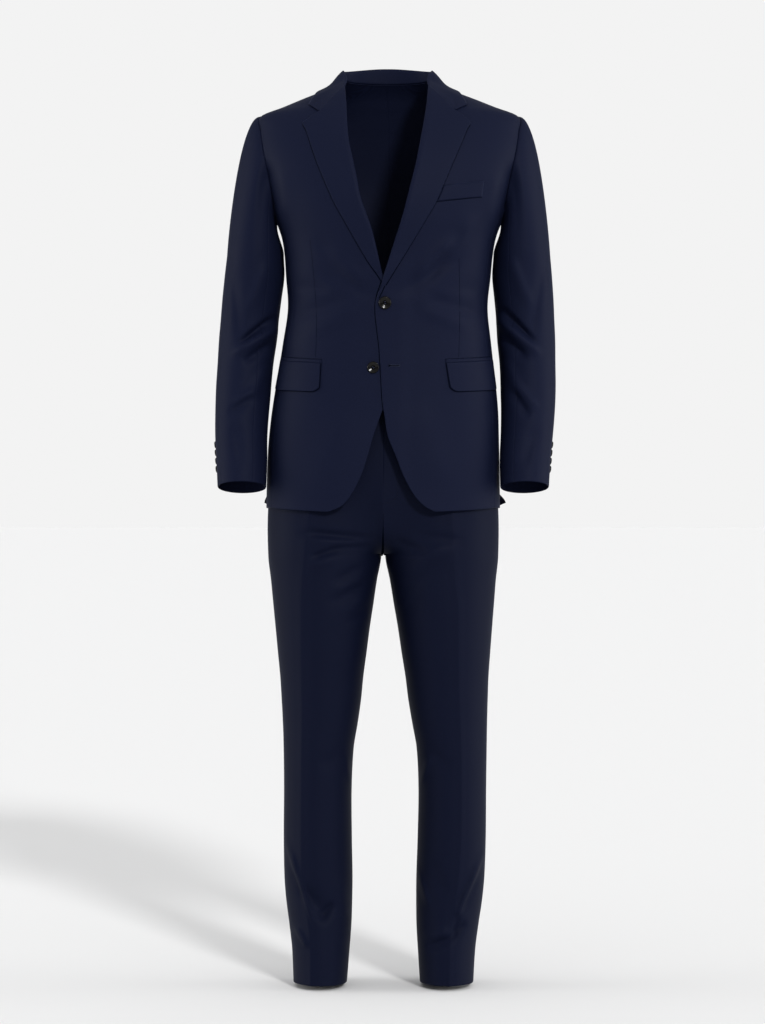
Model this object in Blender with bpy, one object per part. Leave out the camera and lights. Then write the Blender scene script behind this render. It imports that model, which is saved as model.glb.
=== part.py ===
"""Two-piece suit, filled out as if worn: jacket with notch lapels and side vents, and flat-front trousers.

The origin is the middle of the neck opening, level with the inner ends of the shoulder seams.
+Z is up, the front faces -Y and the wearer's left is +X. Tables are in millimetres.
"""

from math import atan2, cos, degrees, exp, pi, radians, sin

import bmesh
import bpy
from mathutils import Vector

MM = 0.001  # tables are in millimetres, the scene is in metres

# Driving dimensions, in millimetres
JACKET_WALL = 2.0
LAPEL_WALL = 2.0
COLLAR_WALL = 1.8
SLEEVE_WALL = 1.8
FLAP_WALL = 1.8
TROUSER_WALL = 1.6
BAND_WALL = 3.0
SEAM_GAP = 0.3
SQUARENESS = 2.35  # exponent of the body sections: 2 is an ellipse

ARMHOLE_MID_Z = -146.0
ARMHOLE_HALF_HEIGHT = 93.0
ARMHOLE_HALF_ANGLE = 27.0  # degrees round the body, each way from the side
ARMHOLE_STEP = 15  # degrees round the armhole between rows
SIDE_SEAM_TURN = 135  # degrees round the armhole where the side body starts

FRONT_COLUMNS = 9
BACK_COLUMNS = 8
LAP_HEIGHT = 2.8  # the left front lies this far out over the right one
LAP_ENDS_X = (20.0, 48.0)
LAP_ENDS_Z = (-335.0, -285.0)
SIDE_HEM_FLARE = 3.5  # how far the vents stand open at the hem
FLARE_ENDS_Z = (-740.0, -540.0)
FLARE_ENDS_ANGLE = (104.0, 126.0)
VENT_CORNER = {"left": 14.0, "right": 7.0}  # how far the lower corner of each vent turns out
VENT_CORNER_LIFT = 9.0
VENT_CORNER_ENDS_Z = (-722.0, -686.0)
VENT_CORNER_ENDS_ANGLE = (107.0, 121.0)
EDGE_TUCK = 0.8  # a front's edge lies this far in from the roll of its lapel
EDGE_TUCK_ENDS_Z = (-362.0, -350.0)
NECK_TUCK = 3.5  # a front's neck edge lies this far in from the collar's fold
NECK_TUCK_ENDS_Z = (-60.0, -25.0)

SLEEVE_BACK_SEAM = -30  # degrees round the sleeve, 0 is its outside, 90 its front
SLEEVE_FRONT_SEAM = 120

LAPEL_REST = 1.3  # the underside of a lapel lies this far above its front
LAPEL_STEPS = 15

GORGE_CORNER_SHARE = 0.62  # where the notch lies along the collar's front end
COLLAR_STAND_BACK = 27.0
COLLAR_STAND_SIDE = 14.0
COLLAR_STAND_FRONT = 5.0
COLLAR_RISE = 3.3  # the fall's face above the panels
COLLAR_SHOULDER_SHARE = 0.62  # share of the way from centre back where the shoulder seam is crossed
NECK_BACK_Z = 10.0  # the neck edge at centre back and on the shoulder seams
NECK_SHOULDER_Z = 12.0
FALL_EDGE_Z = -12.4  # the fall's edge at the back and on the shoulders

FORK_Z = -799.0
HIP_BLEND_TOP = -640.0
CROTCH_TOP = -690.0
BAND_TOP = -520.0
BAND_BOTTOM = -558.0
CREASE_HEIGHT = 3.0
CREASE_HALF_WIDTH = 14.0  # degrees
CREASE_ENDS_Z = (-620.0, -560.0)
BACK_CREASE_ENDS_Z = (-800.0, -700.0)
BAND_OUT = 0.7  # the band stands this far outside the trouser legs
FLY_DEPTH = 1.3  # the underlap lies this far behind the fronts
FLY_LEVELS = [-562, -605, -650, -690, -712]

JET_HEIGHT = 6.0
JET_WALL = 1.0
FLAP_CORNER = 7.0  # rounding of a flap's lower front corner
WELT_WALL = 1.75

TOP_BUTTON = (-5.0, -379.4)
LOWER_BUTTON = (-22.0, -486.4)
FRONT_BUTTON_RADIUS = 10.6
LOWER_BUTTON_RADIUS = 9.8
CUFF_BUTTON_RADIUS = 6.6
CUFF_BUTTON_PITCH = 13.8
CUFF_BUTTONS = 4
CUFF_BUTTON_TURN = -20.0  # degrees round the sleeve
CUFF_LOWEST_BUTTON = 34.0  # above the hem

NAVY = (0.012, 0.017, 0.045)
NAVY_DARK = (0.009, 0.013, 0.036)
HORN = (0.018, 0.013, 0.011)
CLOTH_ROUGHNESS = 0.85
HORN_ROUGHNESS = 0.35


def smoothstep(low, high, value):
    """0 below low, 1 above high, and an even S between them."""
    t = min(1.0, max(0.0, (value - low) / (high - low)))
    return t * t * (3 - 2 * t)


def smooth_fall(value, low, high):
    """1 below low, 0 above high, and an even S between them."""
    return 1 - smoothstep(low, high, value)


def lerp(a, b, t):
    return a + (b - a) * t


def hermite(start, leave, end, arrive, t):
    """A cubic from start to end with these directions at its ends."""
    a = 2 * t**3 - 3 * t**2 + 1
    b = t**3 - 2 * t**2 + t
    c = 3 * t**2 - 2 * t**3
    d = t**3 - t**2
    return a * start + b * leave + c * end + d * arrive


class Table:
    """Rows of numbers with named columns, read as a smooth curve over the first column."""

    def __init__(self, names, rows):
        self.names = names.split()
        self.rows = sorted(rows)
        self.keys = [row[0] for row in self.rows]

    def slope(self, i, column):
        low = max(i - 1, 0)
        high = min(i + 1, len(self.rows) - 1)
        rise = self.rows[high][column] - self.rows[low][column]
        return rise / (self.keys[high] - self.keys[low])

    def at(self, key, name):
        column = self.names.index(name)
        key = min(max(key, self.keys[0]), self.keys[-1])
        i = 0
        while i < len(self.keys) - 2 and self.keys[i + 1] < key:
            i += 1
        step = self.keys[i + 1] - self.keys[i]
        t = (key - self.keys[i]) / step
        leave = self.slope(i, column) * step
        arrive = self.slope(i + 1, column) * step
        return hermite(self.rows[i][column], leave, self.rows[i + 1][column], arrive, t)


# How the standing figure sways from side to side
SWAY = Table("z x", [
    (60, 0), (0, 0), (-52, 3), (-250, 2), (-380, 0), (-470, -2), (-540, -4),
    (-620, -7), (-760, -7.8), (-950, -6.4), (-1150, -4.4), (-1535, -7.5),
])

# Jacket body, horizontal sections
BODY = Table("z half_width front back side_y", [
    (14, 73, -6, 69, 15),
    (0, 92, -36, 80, 15),
    (-12, 117, -49, 87, 15),
    (-25, 150, -59, 92, 15),
    (-39, 184, -68, 97, 14),
    (-53, 219, -77, 101, 13),
    (-80, 226, -95, 108, 9),
    (-120, 228, -115, 115, 6),
    (-160, 220, -129, 119, 4),
    (-200, 206, -138, 118, 2),
    (-240, 189, -140, 114, 0),
    (-262, 181.5, -138, 109, 0),
    (-290, 176.8, -135, 104, 0),
    (-325, 173.9, -131, 97, 0),
    (-380, 169.6, -127, 92, 0),
    (-440, 176.8, -126, 98, 0),
    (-480, 182.2, -127, 106, 0),
    (-530, 189.2, -128, 114, 0),
    (-570, 193.4, -129, 120, 0),
    (-640, 197, -131, 125, 0),
    (-745, 198.8, -130, 124, 0),
])

# Front edge, then roll line, of each front: distance from the middle towards its own side
FRONT_EDGE = Table("z left right", [
    (-725.5, 86, 92), (-717, 70, 71), (-702, 54.6, 57), (-684, 43, 46), (-662, 32, 36),
    (-634, 21, 27), (-600, 6.5, 18), (-565, -0.5, 7), (-545, -4.5, 1), (-520, -7, -6),
    (-480, -10.5, -13), (-450, -13, -14), (-420, -17.5, -14), (-395, -20.5, -13),
    (-375, -19.8, -8), (-350, -11.4, 1.5), (-338, -8, 7.8), (-309, 1.5, 17),
    (-286, 8.5, 23), (-255, 18.5, 31.5), (-230, 26, 41), (-203, 32.7, 50.5),
    (-176, 39.2, 56), (-148, 45.8, 62), (-120, 50.8, 68), (-92, 55.8, 72), (-60, 61, 73.5),
    (-35, 65, 74), (-8, 69.2, 74),
])

# Outer edge of each lapel, distance from the middle towards its own side
LAPEL_EDGE = Table("z left right", [
    (-73, 133.8, 144.5), (-97, 124.7, 136.5), (-125, 113.5, 127.5), (-150, 103, 118.5),
    (-180, 90.7, 106), (-213, 76.8, 91), (-244, 59.3, 73.5), (-283, 36.2, 51),
    (-315, 17, 31.5), (-338, 3, 15), (-359, -9, 3),
])
LAPEL_BREAK_Z = {"left": -357.0, "right": -336.0}
GORGE_START = {"left": (69.2, -8.0), "right": (74.0, -8.0)}
NOTCH_CORNER = {"left": (108.8, -53.4), "right": (117.9, -54.9)}
LAPEL_TIP = {"left": (134.3, -73.5), "right": (144.8, -74.5)}
COLLAR_TIP = {"left": (130.5, -42.5), "right": (135.5, -41.4)}

# Across a lapel: share of its width, and height of its face above the front
LAPEL_COLUMNS = [
    # share, height
    (0, 2.4), (0.06, 3.9), (GORGE_CORNER_SHARE / 3, 4.1), (GORGE_CORNER_SHARE * 2 / 3, 4.0),
    (GORGE_CORNER_SHARE, 3.7), (0.82, 3.5), (1, 3.2),
]
# Along the collar from centre back to its front end, and across its fall
COLLAR_STATIONS = [
    0, 0.1, 0.2, 0.3, 0.39, 0.48, 0.56, 0.63, 0.7, 0.76, 0.82, 0.87, 0.91, 0.96, 1,
]
COLLAR_SHARES = [
    0.08, GORGE_CORNER_SHARE / 3, GORGE_CORNER_SHARE * 2 / 3, GORGE_CORNER_SHARE, 0.82, 1,
]

# Hip pocket: angle round the body, upper and lower level of the flap, at its front and rear end
FLAP_FRONT = {"left": (31.5, -478.4, -526.0), "right": (35.1, -478.4, -526.0)}
FLAP_REAR = (76.0, -469.4, -519.5)
FLAP_SLANT = {"left": 1.6, "right": -0.9}  # degrees the lower front corner lies behind the upper one
# Breast welt: level at the inner end, level and distance from the middle at the outer end
WELT_LOWER = (-212.0, -201.5, 154.0)
WELT_UPPER = (-184.5, -174.5, 157.5)

# Rows of the body panels, hem to armhole: level at the side, at the front edge and at centre back
PANEL_ROWS = [
    # side, front, back
    (-719, -725.5, -742), (-711, -717, -733), (-699, -702, -717), (-682, -684, -697),
    (-660, -662, -672), (-632, -634, -641), (-600, -600, -604), (-565, -565, -566),
    (-530, -530, -530), (-490, -490, -490), (-450, -450, -450), (-410, -410, -410),
    (-380, -380, -380), (-350, -350, -350), (-318, -318, -316), (-286, -286, -282),
    (-255, -255, -249),
]
# Front edge and centre back levels of the rows that end on the armhole, bottom to top
ARMHOLE_ROWS = [
    # front, back
    (-232, -222), (-210, -197), (-189, -173), (-168, -150), (-148, -128),
    (-129, -107), (-111, -87), (-94, -69), (-79, -53), (-66, -39),
]
# Rows that end on the shoulder seam: level on the seam, at the front edge and at centre back
SHOULDER_ROWS = [
    # seam, front, back
    (-39, -52, -29), (-25, -40, -19), (-12, -29, -9), (1, -18, 1), (12, -8.5, 10),
]

SIDE_SEAMS = Table("z front back", [
    (-211.8, 70.9, 109.1), (-255, 69, 108), (-400, 66, 106), (-745, 66, 106),
])

# Sleeve sections; tilt lifts the front of a section
SLEEVE = Table("z x y half_width half_depth tilt", [
    (-290, 226.6, 5, 48.2, 67, 0),
    (-325, 227.6, 6, 50.8, 65, 0),
    (-366, 231.7, 8, 50.3, 63, 0),
    (-400, 234.6, 9, 49.5, 61, 2),
    (-433, 236.8, 8, 49.4, 59, 4),
    (-474, 239.8, 3, 47.5, 57, 7),
    (-515, 241.6, -5, 46.8, 54, 9),
    (-556, 242.1, -15, 45.6, 51, 11),
    (-597, 241.3, -27, 44.2, 48, 12),
    (-637, 239, -38, 43, 45.5, 13),
    (-684, 237.8, -51, 41, 44, 13),
])
CAP_STEPS = [0.08, 0.2, 0.36, 0.56, 0.78]
SLEEVE_LEVELS = [-290, -325, -360, -390, -415, -440, -470, -505, -545, -590, -637, -684]

# Trouser hips, horizontal sections
HIPS = Table("z half_width front back", [
    (-520, 156, -101, 86), (-558, 162, -104, 91), (-600, 175, -108, 101),
    (-650, 188, -110, 107), (-700, 193, -110, 109), (-760, 196.8, -109, 110),
    (-800, 196.8, -108, 109),
])
# Trouser leg sections
LEG = Table("z x half_width front back toe_left toe_right", [
    (-700, 99.3, 97.3, -110, 108, 8, 16),
    (-801, 99.4, 96, -108, 108, 11, 20),
    (-841, 101, 90.1, -106, 106, 12, 23),
    (-882, 102.4, 85.1, -103, 102, 15, 25),
    (-923, 103.9, 80, -99, 97, 15, 26),
    (-964, 105, 75.4, -95, 93, 15, 27),
    (-1005, 106.3, 70.7, -90, 89, 15, 28),
    (-1045, 107.6, 67.5, -86, 85, 15, 28),
    (-1086, 110, 63.5, -82, 82, 15, 28),
    (-1127, 113, 59.6, -79, 80, 14, 28),
    (-1195, 114.3, 57.6, -75, 80, 14, 28),
    (-1277, 113.9, 58, -71, 82, 14, 28),
    (-1345, 112.2, 58, -68, 82, 12, 27),
    (-1385, 110.5, 56.2, -67, 80, 9, 24),
    (-1426, 108, 52.8, -69, 77, 6, 20),
    (-1467, 106.8, 48.8, -72, 73, 5, 20),
    (-1535, 107.5, 44.6, -76, 68, 4, 20),
])
LEG_LEVELS = [
    -558.3, -605, -650, -690, -720, -745, -765, -780, -791, -799, -830, -880, -940, -1005,
    -1070, -1130, -1190, -1250, -1300, -1340, -1375, -1405, -1435, -1465, -1495, -1520,
]
LEG_TURNS = [-90, -62, -36, -13, 0, 13, 38, 64, 90]
HIP_CREASE_ANGLE = 35.0  # where the crease runs up the hips, degrees from centre front
HEM_SLANT = 3.0  # the back of a trouser hem hangs lower by twice this
HEM_SLANT_ENDS_Z = (-1520.0, -1400.0)

# Largest folds: a soft line from one point to another, seen from the front
JACKET_FOLDS = [
    # side, x1, z1, x2, z2, half width, height
    ("left", 104, -276, 50, -333, 9, 2.2),
    ("left", 120, -262, 70, -330, 12, -1.6),
    ("right", 96, -300, 40, -352, 11, 1.5),
    ("left", 150, -395, 70, -372, 10, -1.4),
    ("right", 150, -398, 72, -374, 10, -1.4),
]
SLEEVE_FOLDS = [
    # side, x1, z1, x2, z2, half width, height
    ("left", 199, -388, 246, -436, 7, -4.0),
    ("left", 197, -408, 250, -455, 9, 3.2),
    ("left", 214, -524, 240, -562, 8, -2.4),
    ("right", 198, -402, 246, -438, 7, -4.0),
    ("right", 196, -424, 252, -458, 9, 3.2),
    ("right", 226, -534, 258, -556, 8, -2.4),
]
LEG_FOLDS = [
    # side, x1, z1, x2, z2, half width, height
    ("right", 62, -762, 132, -766, 10, -3.0),
    ("right", 34, -880, 112, -795, 12, -2.6),
    ("right", 172, -1300, 132, -1422, 12, 4.2),
    ("right", 166, -1424, 138, -1470, 9, 3.2),
    ("right", 94, -1394, 78, -1426, 9, -3.5),
    ("left", 60, -764, 124, -772, 11, -2.4),
    ("left", 30, -875, 104, -800, 12, -2.2),
    ("left", 168, -1303, 116, -1460, 12, 4.2),
    ("left", 54, -1316, 78, -1406, 10, 3.4),
    ("left", 78, -1464, 112, -1456, 9, -3.6),
]


def sign_of(side):
    return 1.0 if side == "left" else -1.0


def fold_height(folds, side, x, z):
    """Height of the folds at a point, x measured towards the piece's own side."""
    height = 0.0
    for own, x1, z1, x2, z2, half, rise in folds:
        if own != side:
            continue
        run = Vector((x2 - x1, z2 - z1))
        away = Vector((x - x1, z - z1))
        along = away.dot(run) / run.dot(run)
        across = abs(away.cross(run)) / run.length
        ends = smoothstep(-0.25, 0.25, along) * smoothstep(-0.25, 0.25, 1 - along)
        height += rise * ends * exp(-((across / half) ** 2))
    return height


def squircle(angle):
    """Unit section through a body, boxier than an ellipse: how far to the side and how far to the front."""
    s = sin(radians(angle))
    c = cos(radians(angle))
    k = (abs(s) ** SQUARENESS + abs(c) ** SQUARENESS) ** (-1 / SQUARENESS)
    return s * k, c * k


def place(side, x, y, z):
    """Mirrors a point to its side and adds the sway."""
    return Vector((sign_of(side) * x + SWAY.at(z, "x"), y, z))


def moved_out(surface, side, u, v, out, du, dv):
    """A point of a surface moved out along its normal."""
    here = surface(side, u, v)
    if out == 0:
        return here
    across = surface(side, u + du, v) - surface(side, u - du, v)
    down = surface(side, u, v - dv) - surface(side, u, v + dv)
    normal = across.cross(down).normalized() * -sign_of(side)
    return here + normal * out


def lap_height(side, x, z):
    """How far the left front stands off where it lies over the right one."""
    if side == "right":
        return 0.0
    return LAP_HEIGHT * smooth_fall(x, *LAP_ENDS_X) * smooth_fall(z, *LAP_ENDS_Z)


def body_surface(side, angle, z):
    half = BODY.at(z, "half_width")
    middle = BODY.at(z, "side_y")
    across, ahead = squircle(angle)
    reach = BODY.at(z, "front") - middle if ahead > 0 else middle - BODY.at(z, "back")
    x = half * across
    y = middle + reach * ahead
    if ahead > 0:
        y -= lap_height(side, x, z) + fold_height(JACKET_FOLDS, side, x, z)
    return place(side, x, y, z)


def body(side, angle, z, out=0.0):
    return moved_out(body_surface, side, angle, z, out, 2.0, 4.0)


def angle_of(x, z):
    """The angle round the body at which its front lies at x."""
    half = BODY.at(z, "half_width")
    share = min(abs(x) / half, 0.9999)
    if share < 1e-6:
        return 0.0
    cot = (share**-SQUARENESS - 1) ** (1 / SQUARENESS)
    angle = degrees(atan2(1, cot))
    return angle if x > 0 else -angle


def on_front(side, x, z, out=0.0):
    return body(side, angle_of(x, z), z, out)


def armhole(turn):
    """Angle and level on the body at a turn round the armhole: 0 crown, 90 front, 180 underarm, 270 back."""
    angle = 90 - ARMHOLE_HALF_ANGLE * sin(radians(turn))
    level = ARMHOLE_MID_Z + ARMHOLE_HALF_HEIGHT * cos(radians(turn))
    return angle, level


def grid_normals(grid):
    """Unit normals of a grid of points."""
    normals = []
    for i, row in enumerate(grid):
        line = []
        for j in range(len(row)):
            up = grid[min(i + 1, len(grid) - 1)][j] - grid[max(i - 1, 0)][j]
            over = row[min(j + 1, len(row) - 1)] - row[max(j - 1, 0)]
            line.append(over.cross(up).normalized())
        normals.append(line)
    return normals


def draw_in(grid, gap):
    """Moves a grid's border in by half a seam's gap."""
    last_row = len(grid) - 1
    last = len(grid[0]) - 1
    half = gap / 2
    for row in grid:
        first_step = (row[1] - row[0]).normalized() * half
        last_step = (row[last - 1] - row[last]).normalized() * half
        row[0] = row[0] + first_step
        row[last] = row[last] + last_step
    for j in range(last + 1):
        low_step = (grid[1][j] - grid[0][j]).normalized() * half
        high_step = (grid[last_row - 1][j] - grid[last_row][j]).normalized() * half
        grid[0][j] = grid[0][j] + low_step
        grid[last_row][j] = grid[last_row][j] + high_step


def cloth_material(name, colour, roughness):
    material = bpy.data.materials.new(name)
    material.use_nodes = True
    shader = material.node_tree.nodes["Principled BSDF"]
    shader.inputs["Base Color"].default_value = (*colour, 1)
    shader.inputs["Roughness"].default_value = roughness
    shader.inputs["Metallic"].default_value = 0.0
    return material


def add_object(name, mesh_data, colour, roughness=CLOTH_ROUGHNESS):
    """A node from a finished bmesh, faces turned out."""
    if mesh_data.calc_volume(signed=True) < 0:
        bmesh.ops.reverse_faces(mesh_data, faces=mesh_data.faces)
    mesh = bpy.data.meshes.new(name)
    mesh_data.to_mesh(mesh)
    mesh_data.free()
    mesh.shade_smooth()
    mesh.set_sharp_from_angle(angle=radians(50))
    mesh.materials.append(cloth_material(name, colour, roughness))
    piece = bpy.data.objects.new(name, mesh)
    bpy.context.scene.collection.objects.link(piece)
    return piece


def wall(name, outer, inner, colour):
    """A closed wall between two grids of points, in millimetres."""
    rows = len(outer)
    columns = len(outer[0])
    data = bmesh.new()
    top = [[data.verts.new(p * MM) for p in row] for row in outer]
    bottom = [[data.verts.new(p * MM) for p in row] for row in inner]
    for i in range(rows - 1):
        for j in range(columns - 1):
            corners = ((i, j), (i, j + 1), (i + 1, j + 1), (i + 1, j))
            data.faces.new([top[m][n] for m, n in corners])
            data.faces.new([bottom[m][n] for m, n in reversed(corners)])
    rim = [(0, j) for j in range(columns)]
    rim += [(i, columns - 1) for i in range(1, rows)]
    rim += [(rows - 1, j) for j in range(columns - 2, -1, -1)]
    rim += [(i, 0) for i in range(rows - 2, 0, -1)]
    for k, (i, j) in enumerate(rim):
        m, n = rim[(k + 1) % len(rim)]
        data.faces.new((top[i][j], bottom[i][j], bottom[m][n], top[m][n]))
    return add_object(name, data, colour)


def panel(name, surface, side, uv_rows, thickness, colour, out=0.0):
    """A panel of a surface: a wall whose border is drawn in at its seams."""
    outer = [[surface(side, u, v, out) for u, v in row] for row in uv_rows]
    inner = [[surface(side, u, v, out - thickness) for u, v in row] for row in uv_rows]
    draw_in(outer, SEAM_GAP)
    draw_in(inner, SEAM_GAP)
    return wall(name, outer, inner, colour)


def spread(start, end, count):
    """Points from start to end in even steps."""
    return [
        (lerp(start[0], end[0], i / count), lerp(start[1], end[1], i / count))
        for i in range(count + 1)
    ]


def front_panel_edge(side, z):
    """Where a front's own edge lies: under the roll of its lapel, and bare below it."""
    tuck = EDGE_TUCK * smoothstep(*EDGE_TUCK_ENDS_Z, z)
    return FRONT_EDGE.at(z, side) + tuck


def make_front(side):
    rows = []
    for side_z, edge_z, _ in PANEL_ROWS:
        seam = (SIDE_SEAMS.at(side_z, "front"), side_z)
        edge = (angle_of(front_panel_edge(side, edge_z), edge_z), edge_z)
        rows.append(spread(edge, seam, FRONT_COLUMNS))
    for i, (edge_z, _) in enumerate(ARMHOLE_ROWS):
        seam = armhole(SIDE_SEAM_TURN - i * ARMHOLE_STEP)
        edge = (angle_of(front_panel_edge(side, edge_z), edge_z), edge_z)
        rows.append(spread(edge, seam, FRONT_COLUMNS))
    for seam_z, edge_z, _ in SHOULDER_ROWS:
        tuck = NECK_TUCK * smoothstep(*NECK_TUCK_ENDS_Z, edge_z)
        edge = (FRONT_EDGE.at(edge_z, side) + tuck, edge_z)
        line = spread(edge, (BODY.at(seam_z, "half_width"), seam_z), FRONT_COLUMNS)
        rows.append([(angle_of(x, z), z) for x, z in line[:-1]] + [(90, seam_z)])
    return panel(f"jacket_front_{side}", body, side, rows, JACKET_WALL, NAVY)


def make_side(side):
    columns = (360 - 2 * SIDE_SEAM_TURN) // ARMHOLE_STEP
    rows = []
    for level, _, _ in PANEL_ROWS:
        start = (SIDE_SEAMS.at(level, "front"), level)
        end = (SIDE_SEAMS.at(level, "back"), level)
        rows.append(spread(start, end, columns))
    rows.append([armhole(SIDE_SEAM_TURN + i * ARMHOLE_STEP) for i in range(columns + 1)])
    return panel(f"jacket_side_{side}", body, side, rows, JACKET_WALL, NAVY)


def vented_body(side, angle, z, out=0.0):
    """The body surface, standing open behind the side vent, whose lower corner turns out."""
    flare = SIDE_HEM_FLARE * smooth_fall(z, *FLARE_ENDS_Z) * smooth_fall(angle, *FLARE_ENDS_ANGLE)
    corner = smooth_fall(z, *VENT_CORNER_ENDS_Z) * smooth_fall(angle, *VENT_CORNER_ENDS_ANGLE)
    point = body(side, angle, z, out + flare + VENT_CORNER[side] * corner)
    point.z += VENT_CORNER_LIFT * corner
    return point


def make_back(side):
    rows = []
    for side_z, _, back_z in PANEL_ROWS:
        rows.append(spread((SIDE_SEAMS.at(side_z, "back"), side_z), (180, back_z), BACK_COLUMNS))
    for i, (_, back_z) in enumerate(ARMHOLE_ROWS):
        seam = armhole(360 - SIDE_SEAM_TURN + i * ARMHOLE_STEP)
        rows.append(spread(seam, (180, back_z), BACK_COLUMNS))
    for seam_z, _, back_z in SHOULDER_ROWS:
        rows.append(spread((90, seam_z), (180, back_z), BACK_COLUMNS))
    return panel(f"jacket_back_{side}", vented_body, side, rows, JACKET_WALL, NAVY)


def sleeve_ring(side, turn, z):
    """A point round the sleeve below its cap: 0 outside, 90 front, 180 underarm."""
    tilt = radians(SLEEVE.at(z, "tilt"))
    c = cos(radians(turn))
    s = sin(radians(turn))
    x = SLEEVE.at(z, "x") + SLEEVE.at(z, "half_width") * c
    depth = SLEEVE.at(z, "half_depth") * s
    rise = z + depth * sin(tilt)
    bump = fold_height(SLEEVE_FOLDS, side, x, rise) if s > -0.1 else 0.0
    y = SLEEVE.at(z, "y") - (depth + bump * max(s, 0.0)) * cos(tilt)
    return place(side, x + bump * c * 0.5, y, rise)


def sleeve_cap(side, turn, t):
    """A point of the sleeve cap, from the armhole at t = 0 to the first full section at t = 1."""
    angle, level = armhole(turn)
    start = body(side, angle, level)
    end = sleeve_ring(side, turn, SLEEVE_LEVELS[0])
    under = (1 - cos(radians(turn))) / 2
    mirrored = sign_of(side)
    leave = Vector((mirrored * lerp(96, 4, under), -16 * sin(radians(turn)), lerp(6, -52, under)))
    reach = (end - start).length * 0.85
    arrive = Vector((mirrored * 0.06 * reach, 0, -reach))
    start = start + leave.normalized() * SEAM_GAP + Vector((mirrored * 0.5 * under, 0, 0))
    return hermite(start, leave, end, arrive, t)


def make_sleeve(side):
    whole = []
    for t in [0.0, *CAP_STEPS]:
        whole.append([sleeve_cap(side, i * ARMHOLE_STEP, t) for i in range(25)])
    for level in SLEEVE_LEVELS:
        whole.append([sleeve_ring(side, i * ARMHOLE_STEP, level) for i in range(25)])
    whole = [[*row[:-1], row[0]] for row in whole]
    normals = []
    for i, row in enumerate(whole):
        line = []
        for j in range(24):
            up = whole[max(i - 1, 0)][j] - whole[min(i + 1, len(whole) - 1)][j]
            over = row[(j + 1) % 24] - row[(j - 1) % 24]
            line.append(up.cross(over).normalized() * sign_of(side))
        normals.append(line)
    middle = [sum(row[:24], Vector()) / 24 for row in whole]
    back = SLEEVE_BACK_SEAM // ARMHOLE_STEP
    front = SLEEVE_FRONT_SEAM // ARMHOLE_STEP
    for part, first, last in (("top", back, front), ("under", front, back + 24)):
        turns = [k % 24 for k in range(first, last + 1)]
        outer = [[row[k] for k in turns] for row in whole]
        inner = []
        for i, row in enumerate(whole):
            line = []
            for k in turns:
                normal = normals[i][k]
                if i > len(CAP_STEPS) and normal.dot(row[k] - middle[i]) < 0:
                    normal = -normal
                line.append(row[k] - normal * SLEEVE_WALL)
            inner.append(line)
        for grid in (outer, inner):
            draw_in(grid, SEAM_GAP)
        wall(f"sleeve_{part}_{side}", outer, inner, NAVY)


def lapel_row(side, t, columns):
    """Points across a lapel from its roll line to its edge, t from the break to the gorge."""
    low = LAPEL_BREAK_Z[side]
    roll_z = lerp(low, GORGE_START[side][1], t)
    edge_z = lerp(low - 2, LAPEL_TIP[side][1], t)
    start = Vector((FRONT_EDGE.at(roll_z, side), roll_z))
    end = Vector((LAPEL_EDGE.at(edge_z, side), edge_z))
    corner = Vector(NOTCH_CORNER[side])
    if t == 1:
        end = Vector(LAPEL_TIP[side])
    points = []
    for share in columns:
        straight = start.lerp(end, share)
        if share < GORGE_CORNER_SHARE:
            bent = start.lerp(corner, share / GORGE_CORNER_SHARE)
        else:
            rest = (share - GORGE_CORNER_SHARE) / (1 - GORGE_CORNER_SHARE)
            bent = corner.lerp(end, rest)
        points.append(straight.lerp(bent, smoothstep(0.85, 1.0, t)))
    return points


def make_lapel(side):
    columns = [share for share, _ in LAPEL_COLUMNS]
    roll = [height for _, height in LAPEL_COLUMNS]
    outer = []
    inner = []
    for i in range(LAPEL_STEPS + 1):
        points = lapel_row(side, i / LAPEL_STEPS, columns)
        outer.append([on_front(side, p.x, p.y, h) for p, h in zip(points, roll)])
        inner.append([on_front(side, p.x, p.y, LAPEL_REST) for p in points])
    draw_in(outer, SEAM_GAP)
    draw_in(inner, SEAM_GAP)
    wall(f"lapel_{side}", outer, inner, NAVY_DARK)


def neckline(side, v):
    """Angle and level of the neck edge, from centre back (0) over the shoulder seam to the gorge (1)."""
    if v <= COLLAR_SHOULDER_SHARE:
        t = v / COLLAR_SHOULDER_SHARE
        return lerp(180, 90, t), lerp(NECK_BACK_Z, NECK_SHOULDER_Z, t)
    t = (v - COLLAR_SHOULDER_SHARE) / (1 - COLLAR_SHOULDER_SHARE)
    level = lerp(NECK_SHOULDER_Z, GORGE_START[side][1], t)
    x = lerp(BODY.at(NECK_SHOULDER_Z, "half_width"), GORGE_START[side][0] + NECK_TUCK, t)
    return angle_of(x, level), level


def fall_edge(side, v):
    """Angle and level of the collar's outer edge, from centre back (0) to its front tip (1)."""
    if v <= COLLAR_SHOULDER_SHARE:
        return lerp(180, 90, v / COLLAR_SHOULDER_SHARE), FALL_EDGE_Z
    t = (v - COLLAR_SHOULDER_SHARE) / (1 - COLLAR_SHOULDER_SHARE)
    x = lerp(BODY.at(FALL_EDGE_Z, "half_width"), COLLAR_TIP[side][0], t)
    level = lerp(FALL_EDGE_Z, COLLAR_TIP[side][1], t)
    return angle_of(x, level), level


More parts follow.
